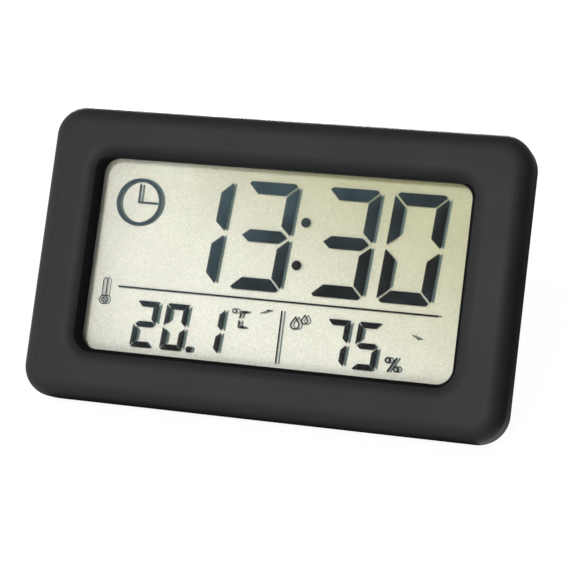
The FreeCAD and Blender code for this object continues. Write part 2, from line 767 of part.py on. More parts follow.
def make_display():
    """The window and its tape, the display stack, its holder and the rubber strip to the board."""
    tape = start_body("window_tape")
    sketch = start_sketch(tape, TAPE_BACK)
    opening_outline(sketch, "window_lap")
    opening_outline(sketch, "part_gap")
    add(tape, sketch, "tape_thick")
    keep(tape, "window_tape")
    window = start_body("display_window")
    sketch = start_sketch(window, WINDOW_BACK)
    opening_outline(sketch, "window_lap")
    add(window, sketch, "window_thick")
    keep(window, "display_window")

    short = f"({GLASS_TOP} - {GLASS_FOOT})"
    long = f"({GLASS_TOP} - {LEDGE_FOOT})"
    layers = {
        "lcd_front_polariser": (short, "film_thick", FILM_BACK),
        "lcd_front_glass": (long, "glass_thick", GLASS_MID),
        "lcd_rear_glass": (short, "glass_thick", GLASS_BACK),
        "lcd_reflector": (short, "film_thick", REFLECTOR_BACK),
    }
    for name, (height, thick, level) in layers.items():
        middle = f"({GLASS_TOP} - {height} / 2)"
        keep(block(name, GLASS_WIDTH, height, thick, 0, middle, level), name)

    depth = f"{GLASS_MID} - {BOARD_FRONT}"
    middle = f"({STRIP_TOP} - strip_thick / 2)"
    strip = block("zebra_strip", STRIP_LENGTH, "strip_thick", depth, 0, middle, BOARD_FRONT)
    keep(strip, "zebra_strip")


def make_holder():
    """The frame round the display: a wall on the board, and a web that the display lies on."""
    half_width = f"({WINDOW_WIDTH} / 2 + fit_gap)"
    top = f"({GLASS_TOP} + 2 * fit_gap)"
    foot = f"({LEDGE_FOOT} - 2 * fit_gap)"
    web_front = f"({REFLECTOR_BACK} - fit_gap)"
    body = start_body("lcd_holder")
    outline = start_sketch(body, BOARD_FRONT)
    rounded_rectangle(
        outline,
        f"2 * ({half_width} + holder_wall)",
        f"{top} - {foot} + 2 * holder_wall",
        "holder_wall",
        0,
        f"({top} + {foot}) / 2",
    )
    add(body, outline, f"{LIP} - fit_gap - {BOARD_FRONT}")
    room = start_sketch(body, web_front)
    box_outline(room, f"-1 * {half_width}", foot, half_width, top)
    cut(body, room, FACE)
    room = start_sketch(body)
    box_outline(room, f"-1 * {half_width}", foot, half_width, top)
    cut(body, room, f"{web_front} - holder_floor")
    window = start_sketch(body)
    rounded_rectangle(
        window,
        f"2 * ({half_width} - holder_lap)",
        f"{GLASS_TOP} - {GLASS_FOOT} - 2 * holder_lap",
        "holder_wall",
        0,
        "opening_rise",
    )
    cut(body, window, FACE)
    slot = start_sketch(body)
    half_slot = f"({STRIP_LENGTH} / 2 + fit_gap)"
    box_outline(slot, f"-1 * {half_slot}", f"{STRIP_FOOT} - fit_gap", half_slot, f"{STRIP_TOP} + fit_gap")
    cut(body, slot, FACE)
    keep(body, "lcd_holder")


def make_board():
    """The circuit board, notched for the case bosses, with the small parts that it carries."""
    body = start_body("main_board")
    outline = start_sketch(body, BOARD_BACK)
    inner_x = f"({BOARD_EDGE} - notch_width)"
    inner_y = f"({BOARD_TOP} - notch_height)"
    quarter = [(BOARD_EDGE, inner_y), (inner_x, inner_y), (inner_x, BOARD_TOP)]
    points = quarter
    points = points + [(f"-1 * {x}", y) for x, y in reversed(quarter)]
    points = points + [(f"-1 * {x}", f"-1 * {y}") for x, y in quarter]
    points = points + [(x, f"-1 * {y}") for x, y in reversed(quarter)]
    polygon(outline, points)
    add(body, outline, "board_thick")
    holes = corner_discs(body, BOARD_BACK, POST_X, POST_Y, "screw_shank_radius + fit_gap")
    cut(body, holes, "board_thick")
    keep(body, "main_board")

    dome_shares = [(0, 0), (1, 0), (0.9, 0.5), (0.5, 1), (0, 1)]
    dome = [(f"{across} * chip_radius", f"{up} * chip_height") for across, up in dome_shares]
    keep(turned("chip_blob", dome, 0, 0, BOARD_FRONT), "chip_blob")

    small = ("chip_part_length", "chip_part_width", "chip_part_height")
    place_shares = {"chip_capacitors": 2, "chip_resistors": 3}
    for name, place in place_shares.items():
        pieces = []
        for across, up in CORNERS:
            x = f"{across * place} * chip_radius"
            y = f"{up} * chip_radius"
            pieces.append(block(f"{name}_one", *small, x, y, BOARD_FRONT))
        keep_group(name, pieces)

    level = f"{BOARD_BACK} - crystal_radius"
    start = f"-1 * ({LEG_WIDTH} / 2 + 2 * crystal_length - recess_wall)"
    can = rod("crystal_can", "crystal_radius", "crystal_length", start, KEYHOLE_Y, level, (1, 0, 0))
    parts = [can]
    for side in SIGNS:
        y = f"{KEYHOLE_Y} + {side} * crystal_radius / 2"
        x = f"{start} - crystal_radius"
        parts.append(rod("crystal_lead", "lead_radius", "2 * crystal_radius", x, y, level, (1, 0, 0)))
    keep(fused("watch_crystal", parts), "watch_crystal")

    level = f"{BOARD_BACK} - bead_rise"
    x = f"{CELL_X} - sensor_width"
    parts = [rod("bead", "bead_radius", "bead_length", x, VENT_Y, level)]
    for side in SIGNS:
        lead_x = f"{x} + {side} * bead_radius / 2"
        lead = "bead_rise - bead_length / 2"
        parts.append(rod("bead_lead", "lead_radius", lead, lead_x, VENT_Y, f"{level} + bead_length / 2"))
    keep(fused("thermistor", parts), "thermistor")

    sensor = start_body("humidity_sensor")
    level = f"{BOARD_BACK} - sensor_thick"
    sketch = start_sketch(sensor, level)
    rounded_rectangle(sketch, "sensor_width", "sensor_height", "bead_radius", CELL_X, VENT_Y)
    add(sensor, sketch, "sensor_thick")
    grille = start_sketch(sensor, level)
    half = "(sensor_height / 2 - vent_width)"
    for step in (-1, 0, 1):
        place = f"{CELL_X} + {step} * sensor_width / 4"
        stadium(grille, place, f"{VENT_Y} - {half}", f"{VENT_Y} + {half}", "lead_radius")
    cut(sensor, grille, "sensor_thick / 2")
    keep(sensor, "humidity_sensor")


def make_buttons():
    """Four buttons with a flange behind the wall, each over a switch and its plunger."""
    x = BUTTON_X
    profile = [
        (0, "button_sink + button_dish / 2"),
        ("button_radius - button_dish", "button_sink"),
        ("button_radius", "button_sink + button_dish"),
        ("button_radius", FLANGE_BACK),
        ("button_radius + flange_lap", FLANGE_BACK),
        ("button_radius + flange_lap", FLANGE_FRONT),
        (0, FLANGE_FRONT),
    ]
    for name, step in BUTTON_STEPS.items():
        y = f"{step} * button_pitch"
        keep(turned(f"{name}_button", profile, x, y), f"{name}_button")
        switch_level = f"({BOARD_BACK} - switch_height)"
        base = block("switch_base", "switch_width", "switch_width", "switch_height", x, y, switch_level)
        bore = rod(
            "switch_bore",
            "plunger_radius + run_gap",
            "switch_height - run_gap + cut_over",
            x,
            y,
            f"{switch_level} - cut_over",
        )
        keep(less(f"{name}_switch", base, bore), f"{name}_switch")
        length = f"{BOARD_BACK} - 2 * run_gap - button_travel - {FLANGE_FRONT}"
        plunger = rod("plunger", "plunger_radius", length, x, y, FLANGE_FRONT)
        keep(plunger, f"{name}_switch_plunger")


def make_leg():
    """The folding leg: a cored plate on a round barrel, with a stub at each side and a heel."""
    body = start_body("stand")
    back = "(-1 * barrel_radius)"
    plate = start_sketch(body, back)
    middle = f"((heel_height + {LEG_TIP}) / 2)"
    rounded_rectangle(plate, LEG_WIDTH, f"heel_height - {LEG_TIP}", "leg_tip_radius", 0, middle)
    add(body, plate, "leg_thick")
    core = start_sketch(body, f"{back} + leg_skin")
    edge = f"({LEG_WIDTH} / 2 - leg_rim)"
    box_outline(core, f"-1 * {edge}", f"{LEG_TIP} + 2 * leg_rim", edge, "-1 * leg_rim")
    cut(body, core, "leg_thick")
    relief = start_sketch(body, HEEL_FRONT)
    side = f"({LEG_WIDTH} / 2 + cut_over)"
    box_outline(relief, f"-1 * {side}", 0, side, "heel_height + cut_over")
    cut(body, relief, "leg_thick")
    barrel = start_sketch(body, f"-1 * {LEG_WIDTH} / 2", "YZ_Plane")
    disc(barrel, 0, 0, "barrel_radius")
    add(body, barrel, LEG_WIDTH)
    stubs = start_sketch(body, f"-1 * {LEG_WIDTH} / 2 - stub_length", "YZ_Plane")
    disc(stubs, 0, 0, "stub_radius")
    add(body, stubs, f"{LEG_WIDTH} + 2 * stub_length")
    foot = start_sketch(body, f"-1 * {side}", "YZ_Plane")
    beyond = f"{LEG_TIP} - cut_over"
    over = "-1 * cut_over"
    points = [(foot_at(over), over), (foot_at("cut_over"), "cut_over"), (beyond, "cut_over"), (beyond, over)]
    polygon(foot, points)
    cut(body, foot, f"2 * {side}")
    grip = start_sketch(body, f"{back} - leg_sink")
    half_rib = f"({LEG_WIDTH} / 4)"
    for step in (0, 1, 2, 3):
        low = f"{LEG_TIP} + leg_rim + {step} * rib_pitch"
        box_outline(grip, f"-1 * {half_rib}", low, half_rib, f"{low} + rib_width")
    add(body, grip, "leg_sink + leg_skin / 2")
    body.Placement = shift(0, HINGE_Y, AXIS_LEVEL, "leg_angle")
    keep(body, "stand")


def make_battery():
    """The coin cell, its two spring contacts and the snap door with its hooks."""
    can = "(cell_height - cell_step)"
    profile = [
        (0, 0),
        ("cell_radius - cell_step", 0),
        ("cell_radius", "cell_step"),
        ("cell_radius", can),
        ("cell_radius - 4 * cell_step", can),
        ("cell_radius - 5 * cell_step", "cell_height"),
        (0, "cell_height"),
    ]
    keep(turned("coin_cell", profile, CELL_X, CELL_Y, CELL_BACK), "coin_cell")

    upright_x = f"{CELL_X} - cell_radius - run_gap - contact_thick / 2"
    foot_x = f"{upright_x} - contact_foot / 2"
    rise = f"{BOARD_BACK} - {FLANGE_BACK}"
    upright = block("clip_side", "contact_thick", "contact_width", rise, upright_x, CELL_Y, FLANGE_BACK)
    foot_level = f"{BOARD_BACK} - contact_thick"
    foot_long = "contact_foot + contact_thick"
    foot = block("clip_foot", foot_long, "contact_width", "contact_thick", foot_x, CELL_Y, foot_level)
    keep(fused("battery_contact_positive", [upright, foot]), "battery_contact_positive")

    leaf = start_body("battery_contact_negative")
    sketch = start_sketch(leaf, f"{CELL_X} - contact_width / 2", "YZ_Plane")
    low = f"({CELL_BACK} + cell_height + run_gap)"
    arch = [
        ("contact_foot", BOARD_BACK),
        ("contact_foot", f"{BOARD_BACK} - contact_thick"),
        ("contact_foot / 2", f"{BOARD_BACK} - contact_thick"),
        ("contact_foot / 3", low),
    ]
    thick = f"({low} + contact_thick)"
    under = [("contact_foot / 3", thick), ("contact_foot / 2", BOARD_BACK)]
    outline = arch + [(f"-1 * {y}", z) for y, z in reversed(arch)]
    outline = outline + [(f"-1 * {y}", z) for y, z in reversed(under)] + under
    polygon(sketch, [(f"{CELL_Y} + {y}", z) for y, z in outline])
    add(leaf, sketch, "contact_width")
    keep(leaf, "battery_contact_negative")

    door = start_body("battery_door")
    plate = start_sketch(door)
    rounded_rectangle(plate, DOOR_WIDTH, DOOR_HEIGHT, "door_radius", 0, f"-1 * {DOOR_HEIGHT} / 2")
    add(door, plate, "door_thick")
    slits = start_sketch(door)
    grooves = start_sketch(door)
    for side in SIGNS:
        left = f"{side} * latch_width / 2 - slit_width / 2"
        right = f"{side} * latch_width / 2 + slit_width / 2"
        box_outline(slits, left, f"-1 * {DOOR_HEIGHT} - cut_over", right, f"latch_length - {DOOR_HEIGHT}")
    cut(door, slits, "door_thick")
    for step in (1, 2, 3):
        low = f"{step} * 2 * slit_width - {DOOR_HEIGHT}"
        box_outline(grooves, "-1 * latch_width / 4", low, "latch_width / 4", f"{low} + slit_width")
    cut(door, grooves, "door_thick / 4")
    stems = start_sketch(door, "door_thick / 2")
    tips = start_sketch(door, HOOK_LEVEL)
    for side in SIGNS:
        left = f"{side} * hook_place - hook_width / 2"
        right = f"{side} * hook_place + hook_width / 2"
        box_outline(stems, left, "-1 * hook_stem", right, 0)
        box_outline(tips, left, "-1 * hook_stem", right, "hook_reach")
    add(door, stems, f"{HOOK_LEVEL} + hook_thick / 2 - door_thick / 2")
    add(door, tips, "hook_thick")
    door.Placement = shift(CELL_X, DOOR_TOP, 0)
    keep(door, "battery_door")


def screw(name, length, x, y, level):
    """A pan head screw, whose head lies on a level."""
    head = "screw_head_radius"
    rise = "-1 * screw_head_height"
    shank = "screw_shank_radius"
    profile = [
        (0, rise),
        (f"{head} * 2 / 3", rise),
        (head, f"{rise} / 2"),
        (head, 0),
        (shank, 0),
        (shank, length),
        (0, length),
    ]
    return turned(name, profile, x, y, level)


def make_screws():
    """The four screws of the case, with their cross recesses, and the four of the board."""
    pieces = []
    for across, up in CORNERS:
        spot = (f"{across} * {BOSS_X}", f"{up} * {BOSS_Y}")
        body = screw("case_screw", "case_screw_length", *spot, "well_depth")
        reach = "(screw_head_radius / 2)"
        for wide, high in ((reach, "(cross_width / 2)"), ("(cross_width / 2)", reach)):
            cross = start_sketch(body, "-1 * screw_head_height")
            box_outline(cross, f"-1 * {wide}", f"-1 * {high}", wide, high)
            cut(body, cross, "cross_depth")
        pieces.append(body)
    keep_group("case_screws", pieces)
    pieces = []
    for across, up in CORNERS:
        spot = (f"{across} * {POST_X}", f"{up} * {POST_Y}")
        pieces.append(screw("board_screw", "board_screw_length", *spot, BOARD_BACK))
    keep_group("board_screws", pieces)


def write_parts():
    """Check every object and each piece, then write the pieces."""
    doc.recompute()
    for thing in doc.Objects:
        if "Invalid" in thing.State or "Error" in thing.State:
            raise ValueError(f"{thing.Name} failed: {thing.State}")
    for thing in nodes:
        if thing.Shape.isNull() or not thing.Shape.isValid() or thing.Shape.Volume <= 0:
            raise ValueError(f"{thing.Label} has no sound shape")
    os.makedirs("parts", exist_ok=True)
    for thing in nodes:
        thing.Shape.exportStep(f"parts/{thing.Label}.step")
        print(f"{thing.Label}: {len(thing.Shape.Solids)} solids, {thing.Shape.Volume:.1f} mm3")
    whole = Part.makeCompound([thing.Shape for thing in nodes])
    box = whole.optimalBoundingBox(False, False)
    print(f"X {box.XMin:.3f} to {box.XMax:.3f}, Y {box.YMin:.3f} to {box.YMax:.3f}")
    print(f"Z {box.ZMin:.3f} to {box.ZMax:.3f}")


make_front_case()
make_back_cover()
make_display()
make_holder()
make_board()
make_buttons()
make_leg()
make_battery()
make_screws()
write_parts()
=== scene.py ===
import bpy
import functools
import json
import math
from mathutils import Matrix, Vector


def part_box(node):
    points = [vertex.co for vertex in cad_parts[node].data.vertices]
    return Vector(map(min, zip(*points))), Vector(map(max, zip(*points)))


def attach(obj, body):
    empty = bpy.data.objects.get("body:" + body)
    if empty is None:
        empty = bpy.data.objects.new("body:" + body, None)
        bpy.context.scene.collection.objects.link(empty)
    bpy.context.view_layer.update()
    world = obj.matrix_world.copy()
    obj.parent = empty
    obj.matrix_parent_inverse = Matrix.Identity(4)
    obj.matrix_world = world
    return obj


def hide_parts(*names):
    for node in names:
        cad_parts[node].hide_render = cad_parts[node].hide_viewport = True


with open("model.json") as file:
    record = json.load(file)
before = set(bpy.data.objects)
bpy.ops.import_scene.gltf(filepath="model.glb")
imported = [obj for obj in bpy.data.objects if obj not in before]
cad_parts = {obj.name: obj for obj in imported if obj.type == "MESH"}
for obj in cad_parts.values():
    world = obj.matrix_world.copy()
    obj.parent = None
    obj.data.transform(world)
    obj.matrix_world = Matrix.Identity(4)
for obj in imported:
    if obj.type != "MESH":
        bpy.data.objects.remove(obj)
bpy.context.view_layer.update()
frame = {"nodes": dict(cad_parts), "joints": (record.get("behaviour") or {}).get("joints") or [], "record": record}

bl_info = {
    "name": "Room clock dressing",
    "version": (1, 0, 0),
    "blender": (4, 5, 0),
    "location": "View3D > Sidebar > Room clock",
    "description": "Dresses a leaning room clock and sets a plain studio round it",
    "category": "Object",
}

MM = 0.001
WHITE = (1.0, 1.0, 1.0, 1.0)

# Which strokes of a seven-stroke figure are dark. The strokes are named clockwise from the top,
# a to f, and g is the middle one.
FIGURES = {
    "0": "abcdef",
    "1": "bc",
    "2": "abged",
    "3": "abgcd",
    "5": "afgcd",
    "7": "abc",
    "C": "afed",
}

# The readings, the middle of each figure across the face, and the middle of its row up the face.
# All places on the display are in mm from the middle of the face.
TIME = "1330"
TIME_MIDDLES = (-17.29, -3.37, 13.73, 27.58)
TIME_LEVEL = 6.65
TEMPERATURE = "201"
TEMPERATURE_MIDDLES = (-26.3, -19.85, -12.05)
HUMIDITY = "75"
HUMIDITY_MIDDLES = (14.15, 20.55)
SMALL_LEVEL = -13.475

# The letter of the temperature's unit: its middle, its size beside a large figure, and the
# thickness of its strokes before it is made small.
UNIT = "C"
UNIT_PLACE = (-5.5, -10.6)
UNIT_SHARE = 0.16
UNIT_THICK = 3.1

# The parts of the signs. A ring is its middle, its radius and the width of its line, 0 for a full
# disc; after them may come its number of corners, and how far its top is pulled into the tip of a
# drop. A bar is its two ends and its thickness. A plate is the corners of a full convex shape,
# and an outline is the corners of one drawn with a line, and the width of that line.
POINT = {"rings": [(-16.2, -17.7, 0.65, 0.0)]}
COLON = {"rings": [(5.05, 10.15, 1.0, 0.0), (4.2, 1.35, 1.0, 0.0)]}
UNIT_SIGNS = {
    "rings": [
        (-7.45, -8.95, 0.55, 0.22),
        (25.2, -15.75, 0.66, 0.33),
        (27.05, -17.4, 0.66, 0.33),
    ],
    "bars": [(25.3, -18.1, 27.0, -15.15, 0.42)],
}
SIGNS = {
    "clock_sign": {
        "rings": [(-31.0, 11.6, 4.95, 0.68, 64)],
        "bars": [(-31.06, 11.4, -31.06, 15.3, 0.42), (-31.25, 11.55, -27.1, 11.55, 0.38)],
    },
    "thermometer_sign": {
        "outlines": [
            (
                [
                    (-36.5, -8.4),
                    (-35.4, -8.4),
                    (-35.4, -5.1),
                    (-35.75, -4.6),
                    (-36.15, -4.6),
                    (-36.5, -5.1),
                ],
                0.2,
            )
        ],
        "rings": [(-35.95, -9.2, 0.95, 0.22, 32), (-35.95, -9.2, 0.45, 0.16, 20)],
    },
    "drop_signs": {
        "rings": [(5.4, -10.6, 1.0, 0.28, 32, 0.8), (7.3, -9.65, 0.75, 0.24, 32, 0.6)],
    },
    "dividing_lines": {
        "bars": [(-33.05, -6.2, 34.3, -6.2, 0.36), (2.4, -18.75, 2.4, -8.05, 0.32)],
    },
    "trend_signs": {
        "bars": [
            (-2.05, -8.95, -0.3, -8.3, 0.2),
            (-0.75, -8.2, -0.1, -8.25, 0.32),
            (29.5, -10.35, 30.8, -10.95, 0.2),
            (30.5, -11.0, 31.1, -11.05, 0.32),
        ],
    },
}

# The signs on the back, as their parts lie about the middle of each: a clock, a tick, an arrow up
# and an arrow down beside the buttons, and an arrow on the battery door towards its latch.
BUTTON_SIGNS = {
    "mode_button": {
        "rings": [(0.0, 0.0, 1.3, 0.32, 40)],
        "bars": [(0.0, -0.15, 0.0, 0.8, 0.28), (0.15, 0.0, -0.6, 0.0, 0.28)],
    },
    "set_button": {"bars": [(1.15, 0.05, 0.2, -0.9, 0.34), (0.35, -0.9, -1.2, 1.0, 0.34)]},
    "up_button": {"plates": [[(-1.2, -0.8), (1.2, -0.8), (0.0, 1.1)]]},
    "down_button": {"plates": [[(1.2, 0.8), (-1.2, 0.8), (0.0, -1.1)]]},
}
DOOR_ARROW = {
    "bars": [(0.0, 0.2, 0.0, -3.0, 0.8)],
    "plates": [[(1.7, -2.9), (-1.7, -2.9), (0.0, -5.0)]],
}

# The lamps: their place, width, height and colour. The stage holds the power of each. They face
# the middle of the clock.
CLOCK_MIDDLE = (0.0, 0.0, 0.03)
LAMPS = {
    "key": ((0.03, -1.04, 0.64), 0.26, 0.22, (1.0, 1.0, 0.98)),
    "low": ((0.03, -0.75, 0.09), 0.5, 0.17, (1.0, 1.0, 1.0)),
    "glint": ((-0.39, -0.67, 0.62), 0.16, 0.14, (0.75, 0.88, 1.0)),
    "left": ((-0.78, -0.42, 0.2), 0.5, 0.4, (1.0, 1.0, 1.0)),
    "behind": ((-0.35, 1.0, 0.14), 0.5, 0.26, (1.0, 1.0, 1.0)),
}

# The black flags: their place, the point that they face, their width and their height. Those on
# the floor lie just above it.
FLAGS = {
    "flag_right": ((0.45, 0.15, 0.3), (0.0, 0.15, 0.3), 0.8, 0.6),
    "flag_above": ((0.0, 0.25, 0.5), CLOCK_MIDDLE, 0.7, 0.4),
    "flag_low": ((0.205, 0.12, 0.0005), (0.205, 0.12, 1.0), 0.3, 0.4),
    # A black sheet under the clock's front edge, seen only in the case's shine: painted shade that stands in for
    # the floor's contact shadow.
    "flag_under": ((0.0, -0.003, 0.0005), (0.0, -0.003, 1.0), 0.09, 0.03),
}

# The plain finishes, by the slot of each: its name and colour, its roughness, the size and the
# depth of its grain in mm, and for some how much its colour varies.
PLASTICS = {
    "button_plastic": ("moulded ABS, button grey", "#2B2C2E", 0.42, 0.3, 0.006),
    "foam_tape": ("foam tape, black", "#0C0C0C", 0.85, 0.4, 0.05),
    "zebra_rubber": ("striped silicone rubber", "#B9A8A0", 0.6, 0.1, 0.01),
    "white_plastic": ("moulded ABS, white", "#D9D9D4", 0.5, 0.3, 0.01),
    "board_laminate": ("glass epoxy laminate, green", "#1D4A2C", 0.35, 0.5, 0.01, 0.3),
    "epoxy": ("poured epoxy, black", "#0B0B0C", 0.25, 3.0, 0.05),
    "chip_ceramic": ("fired ceramic, tan", "#9A8468", 0.4, 0.3, 0.01),
    "sensor_plastic": ("moulded nylon, white", "#CFCFC8", 0.5, 0.3, 0.01),
    "switch_plastic": ("moulded nylon, black", "#141415", 0.5, 0.3, 0.01),
}

# The metals: their name and colour, their roughness, and the pitch of their fine lines in mm.
METALS = {
    "plated_steel": ("nickel plated spring steel", "#C9C5BC", 0.28, 0.08),
    "cell_steel": ("nickel plated steel can", "#CFCFCD", 0.22, 0.1),
    "screw_steel": ("zinc plated steel, black passivated", "#3A3A3C", 0.38, 0.1),
}

# The window: its name and tint, its haze, and the share of light that it mirrors head on. The
# layers inside the display: their name and tint, and how much of the light they stop.
WINDOW = ("cast acrylic, clear", "#F4F7FB", 0.03, 0.007)
FILMS = {
    "polariser_film": ("polariser film", "#C9CDB4", 0.004),
    "display_glass": ("float glass", "#D5E0D8", 0.002),
}

# The case: the size and depth of its grain in mm, how much its colour varies, and its shine. The
# recess's walls have a duller finish and a darker colour, which is painted shade.
CASE_GRAIN = (0.5, 0.06, 0.18, 0.22)
RECESS_ROUGHNESS = 0.9
RECESS_GRAIN = (0.25, 0.012, 0.12, 0.05)

# Sizes in mm of the noise in the finishes: flow in moulded plastic, waves in clear sheets, and
# clouds in the reflector and in the liquid crystal. The reflector's real grain is under 0.1 mm.
# It is drawn as coarse as the photographed view shows it.
FLOW_SIZE = 22
WAVE_SIZE = 30
REFLECTOR_GRAIN = 0.45
REFLECTOR_CLOUD = 9
CRYSTAL_CLOUD = 7
INK_SPECK = 0.3

# Along its fine lines, metal changes only this many times per metre.
LINE_STRETCH = 90.0

# How far the roughness of plastic and of metal wanders, to both sides.
PLASTIC_SWAY = 0.05
METAL_SWAY = 0.08

# How the reflector darkens and yellows, and the liquid crystal pales to blue, over the display: how
# much of the growth goes across and up, and where on it the change starts and ends. The reflector's
# change is painted shade, and the paling is a painted reflection of a bluish haze in the window.
REFLECTOR_SHADE = (0.6, 0.5, -0.45, 0.85)
INK_REFLECTION = (-0.5, 0.5, -0.25, 0.55)

# How far a mark is shifted, in mm, because it lies deeper behind the face than the 5.5 mm at
# which its place was measured.
DEPTH_SHIFT = (-0.147, 0.06)

# The floor: its paint, its glow where it is seen, and how much of it shows a shadow.
FLOOR_PAINT = (0.85, 0.85, 0.85, 1.0)
FLOOR_GLOW = 1.1
FLOOR_SHADE = 0.15
FLAG_CLOTH = (0.002, 0.002, 0.002, 1.0)

# The pieces that are smoothed, and the angles that do it: facets that lie flatter are merged,
# edges that are steeper are rounded, and faces that meet more flatly are shaded as one.
SHELLS = ("front_case", "back_cover", "battery_door", "stand")
BUTTONS = ("mode_button", "set_button", "up_button", "down_button")
MERGE_ANGLE = math.radians(0.2)
ROUND_ANGLE = math.radians(40)
SMOOTH_ANGLE = math.radians(35)

# A look into the display passes the clear window, films, glasses and strokes.
CLEAR_LAYERS = 24


# The places of things on the leaning face


def press_direction():
    """The way out of the face, against which the buttons are pressed in from the back."""
    joint = next(item for item in frame["joints"] if item["name"] == "mode_press")
    return Vector(joint["axis"]).normalized()


def face_basis():
    """Right, up the face and out of it, as the columns of a turn."""
    out = press_direction()
    right = Vector((1.0, 0.0, 0.0))
    return Matrix((right, out.cross(right), out)).transposed()


def middle_of(node):
    """The middle of a node's box at rest."""
    low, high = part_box(node)
    return (low + high) / 2


def on_face(depth):
    """A drawing board in millimetres, parallel to the face and a depth behind it."""
    props = bpy.context.scene.clock_display
    basis = face_basis()
    origin = middle_of("lcd_reflector")
    origin = origin + basis @ Vector((0.0, -props.opening_rise, props.film_depth - depth))
    return Matrix.Translation(origin) @ basis.to_4x4() @ Matrix.Scale(MM, 4)


# Modelling as by hand


def clear_selection():
    """Leave nothing selected."""
    bpy.ops.object.select_all(action="DESELECT")


def pick(*objects):
    """Select these objects alone, the first one active."""
    clear_selection()
    for thing in objects:
        thing.select_set(True)
    bpy.context.view_layer.objects.active = objects[0]


def start_edit():
    """Edit the active object, with all of it selected."""
    bpy.ops.object.mode_set(mode="EDIT")
    bpy.ops.mesh.select_all(action="SELECT")


def end_edit():
    """Leave edit mode and return the object."""
    bpy.ops.object.mode_set(mode="OBJECT")
    return bpy.context.object


def joined(name, pieces):
    """Several objects joined into one of that name."""
    pick(*pieces)
    if len(pieces) > 1:
        bpy.ops.object.join()
    result = bpy.context.object
    result.name = name
    result.data.name = name
    return result


def cut_plate(corners):
    """A flat plate, cut along each side to a convex outline whose corners run anticlockwise."""
    clear_selection()
    across = [x for x, y in corners]
    up = [y for x, y in corners]
    middle = ((min(across) + max(across)) / 2, (min(up) + max(up)) / 2, 0.0)
    bpy.ops.mesh.primitive_plane_add(size=1.0, location=middle)
    bpy.ops.object.transform_apply(location=True, rotation=True, scale=True)
    start_edit()
    # The plate is stretched to twice the outline's size before the cuts.
    stretch = (2 * (max(across) - min(across)), 2 * (max(up) - min(up)), 1.0)
    bpy.ops.transform.resize(value=stretch, center_override=middle)
    for (x0, y0), (x1, y1) in zip(corners, corners[1:] + corners[:1]):
        bpy.ops.mesh.select_all(action="SELECT")
        outward = Vector((y1 - y0, x0 - x1, 0.0)).normalized()
        bpy.ops.mesh.bisect(plane_co=(x0, y0, 0.0), plane_no=outward, clear_outer=True)
    return end_edit()


def bar(x0, y0, x1, y1, thick):
    """A straight stroke between two points."""
    along = Vector((x1 - x0, y1 - y0)).normalized() * (thick / 2)
    side = Vector((-along.y, along.x))
    start = Vector((x0, y0))
    end = Vector((x1, y1))
    corners = [start - side, end - side, end + side, start + side]
    return cut_plate([tuple(corner) for corner in corners])


def ring(x, y, radius, line, steps=48, pull=0.0):
    """A ring drawn with a line, its top vertex pulled up into a tip where it is a drop."""
    clear_selection()
    bpy.ops.mesh.primitive_circle_add(
        vertices=steps, radius=radius, fill_type="NGON", location=(x, y, 0.0)
    )
    bpy.ops.object.transform_apply(location=True, rotation=True, scale=True)
    mesh = bpy.context.object.data
    bpy.ops.object.mode_set(mode="EDIT")
    if pull:
        bpy.ops.mesh.select_all(action="DESELECT")
        bpy.ops.object.mode_set(mode="OBJECT")
        top = max(mesh.vertices, key=lambda vertex: vertex.co.y)
        top.select = True
        bpy.ops.object.mode_set(mode="EDIT")
        bpy.ops.transform.translate(
            value=(0.0, pull, 0.0),
            use_proportional_edit=True,
            proportional_size=radius,
            proportional_edit_falloff="SHARP",
        )
    if line:
        bpy.ops.mesh.select_all(action="SELECT")
        bpy.ops.mesh.inset(thickness=line)
        bpy.ops.mesh.delete(type="FACE")
    return end_edit()


def frame_line(corners, line):
    """The outline of a convex shape, drawn with a line."""
    plate = cut_plate(corners)
    pick(plate)
    start_edit()
    bpy.ops.mesh.inset(thickness=line)
    bpy.ops.mesh.delete(type="FACE")
    return end_edit()


def figure_strokes(figure, x, y, scale, slant, thick, trim):
    """The dark strokes of one figure about its middle, as convex outlines.

    The trim shortens the ends beside which a shadow would fill the light gap to the next stroke.
    """
    props = bpy.context.scene.clock_display
    half = props.figure_width / 2
    high = props.figure_height / 2
    side = thick - props.stroke_gap / 2
    nip = props.stroke_nip
    gap = props.stroke_gap
    ease = gap / 8
    top = [
        (half - nip - trim, high - nip),
        (half - 2 * nip - trim, high),
        (2 * nip - half, high),
        (nip - half, high - nip),
        (thick - half + ease, high - thick),
        (half - thick - ease - trim, high - thick),
    ]

    def upright(short):
        """The stroke up the right side, a length shorter at both ends.

        The cut at its foot is 0.4 by 0.7 of the nip, and the one at its head 1/3 by 0.5.
        """
        return [
            (half - 0.4 * nip, gap + short),
            (half, 0.7 * nip + gap + short),
            (half, high - 2 * nip - short),
            (half - nip / 3, high - 1.5 * nip - short),
            (half - side, high - side - nip - short),
            (half - side, side + short),
        ]

    right = upright(0.0)
    left = upright(trim)
    # The middle stroke keeps clear of the upright ones, and its points are 0.6 as long as it is
    # thick.
    reach = half - 1.4 * nip - trim
    start = half - 1.8 * nip
    point = 0.6 * thick
    middle = [
        (reach, 0.0),
        (reach - point, thick / 2),
        (point - start, thick / 2),
        (-start, 0.0),
        (point - start, -thick / 2),
        (reach - point, -thick / 2),
    ]
    strokes = {
        "a": top,
        "b": right,
        "c": [(across, -up) for across, up in reversed(right)],
        "d": [(across, -up) for across, up in reversed(top)],
        "e": [(-across, -up) for across, up in left],
        "f": [(-across, up) for across, up in reversed(left)],
        "g": middle,
    }
    lean = math.tan(slant)
    outlines = []
    for letter in FIGURES[figure]:
        points = strokes[letter]
        outlines.append([(x + scale * (u + v * lean), y + scale * v) for u, v in points])
    return outlines


# Materials


def linear(hex_colour):
    """The linear colour of an sRGB hex value."""
    shares = [int(hex_colour[place:place + 2], 16) / 255 for place in (1, 3, 5)]
    values = [s / 12.92 if s <= 0.04045 else ((s + 0.055) / 1.055) ** 2.4 for s in shares]
    return (*values, 1.0)


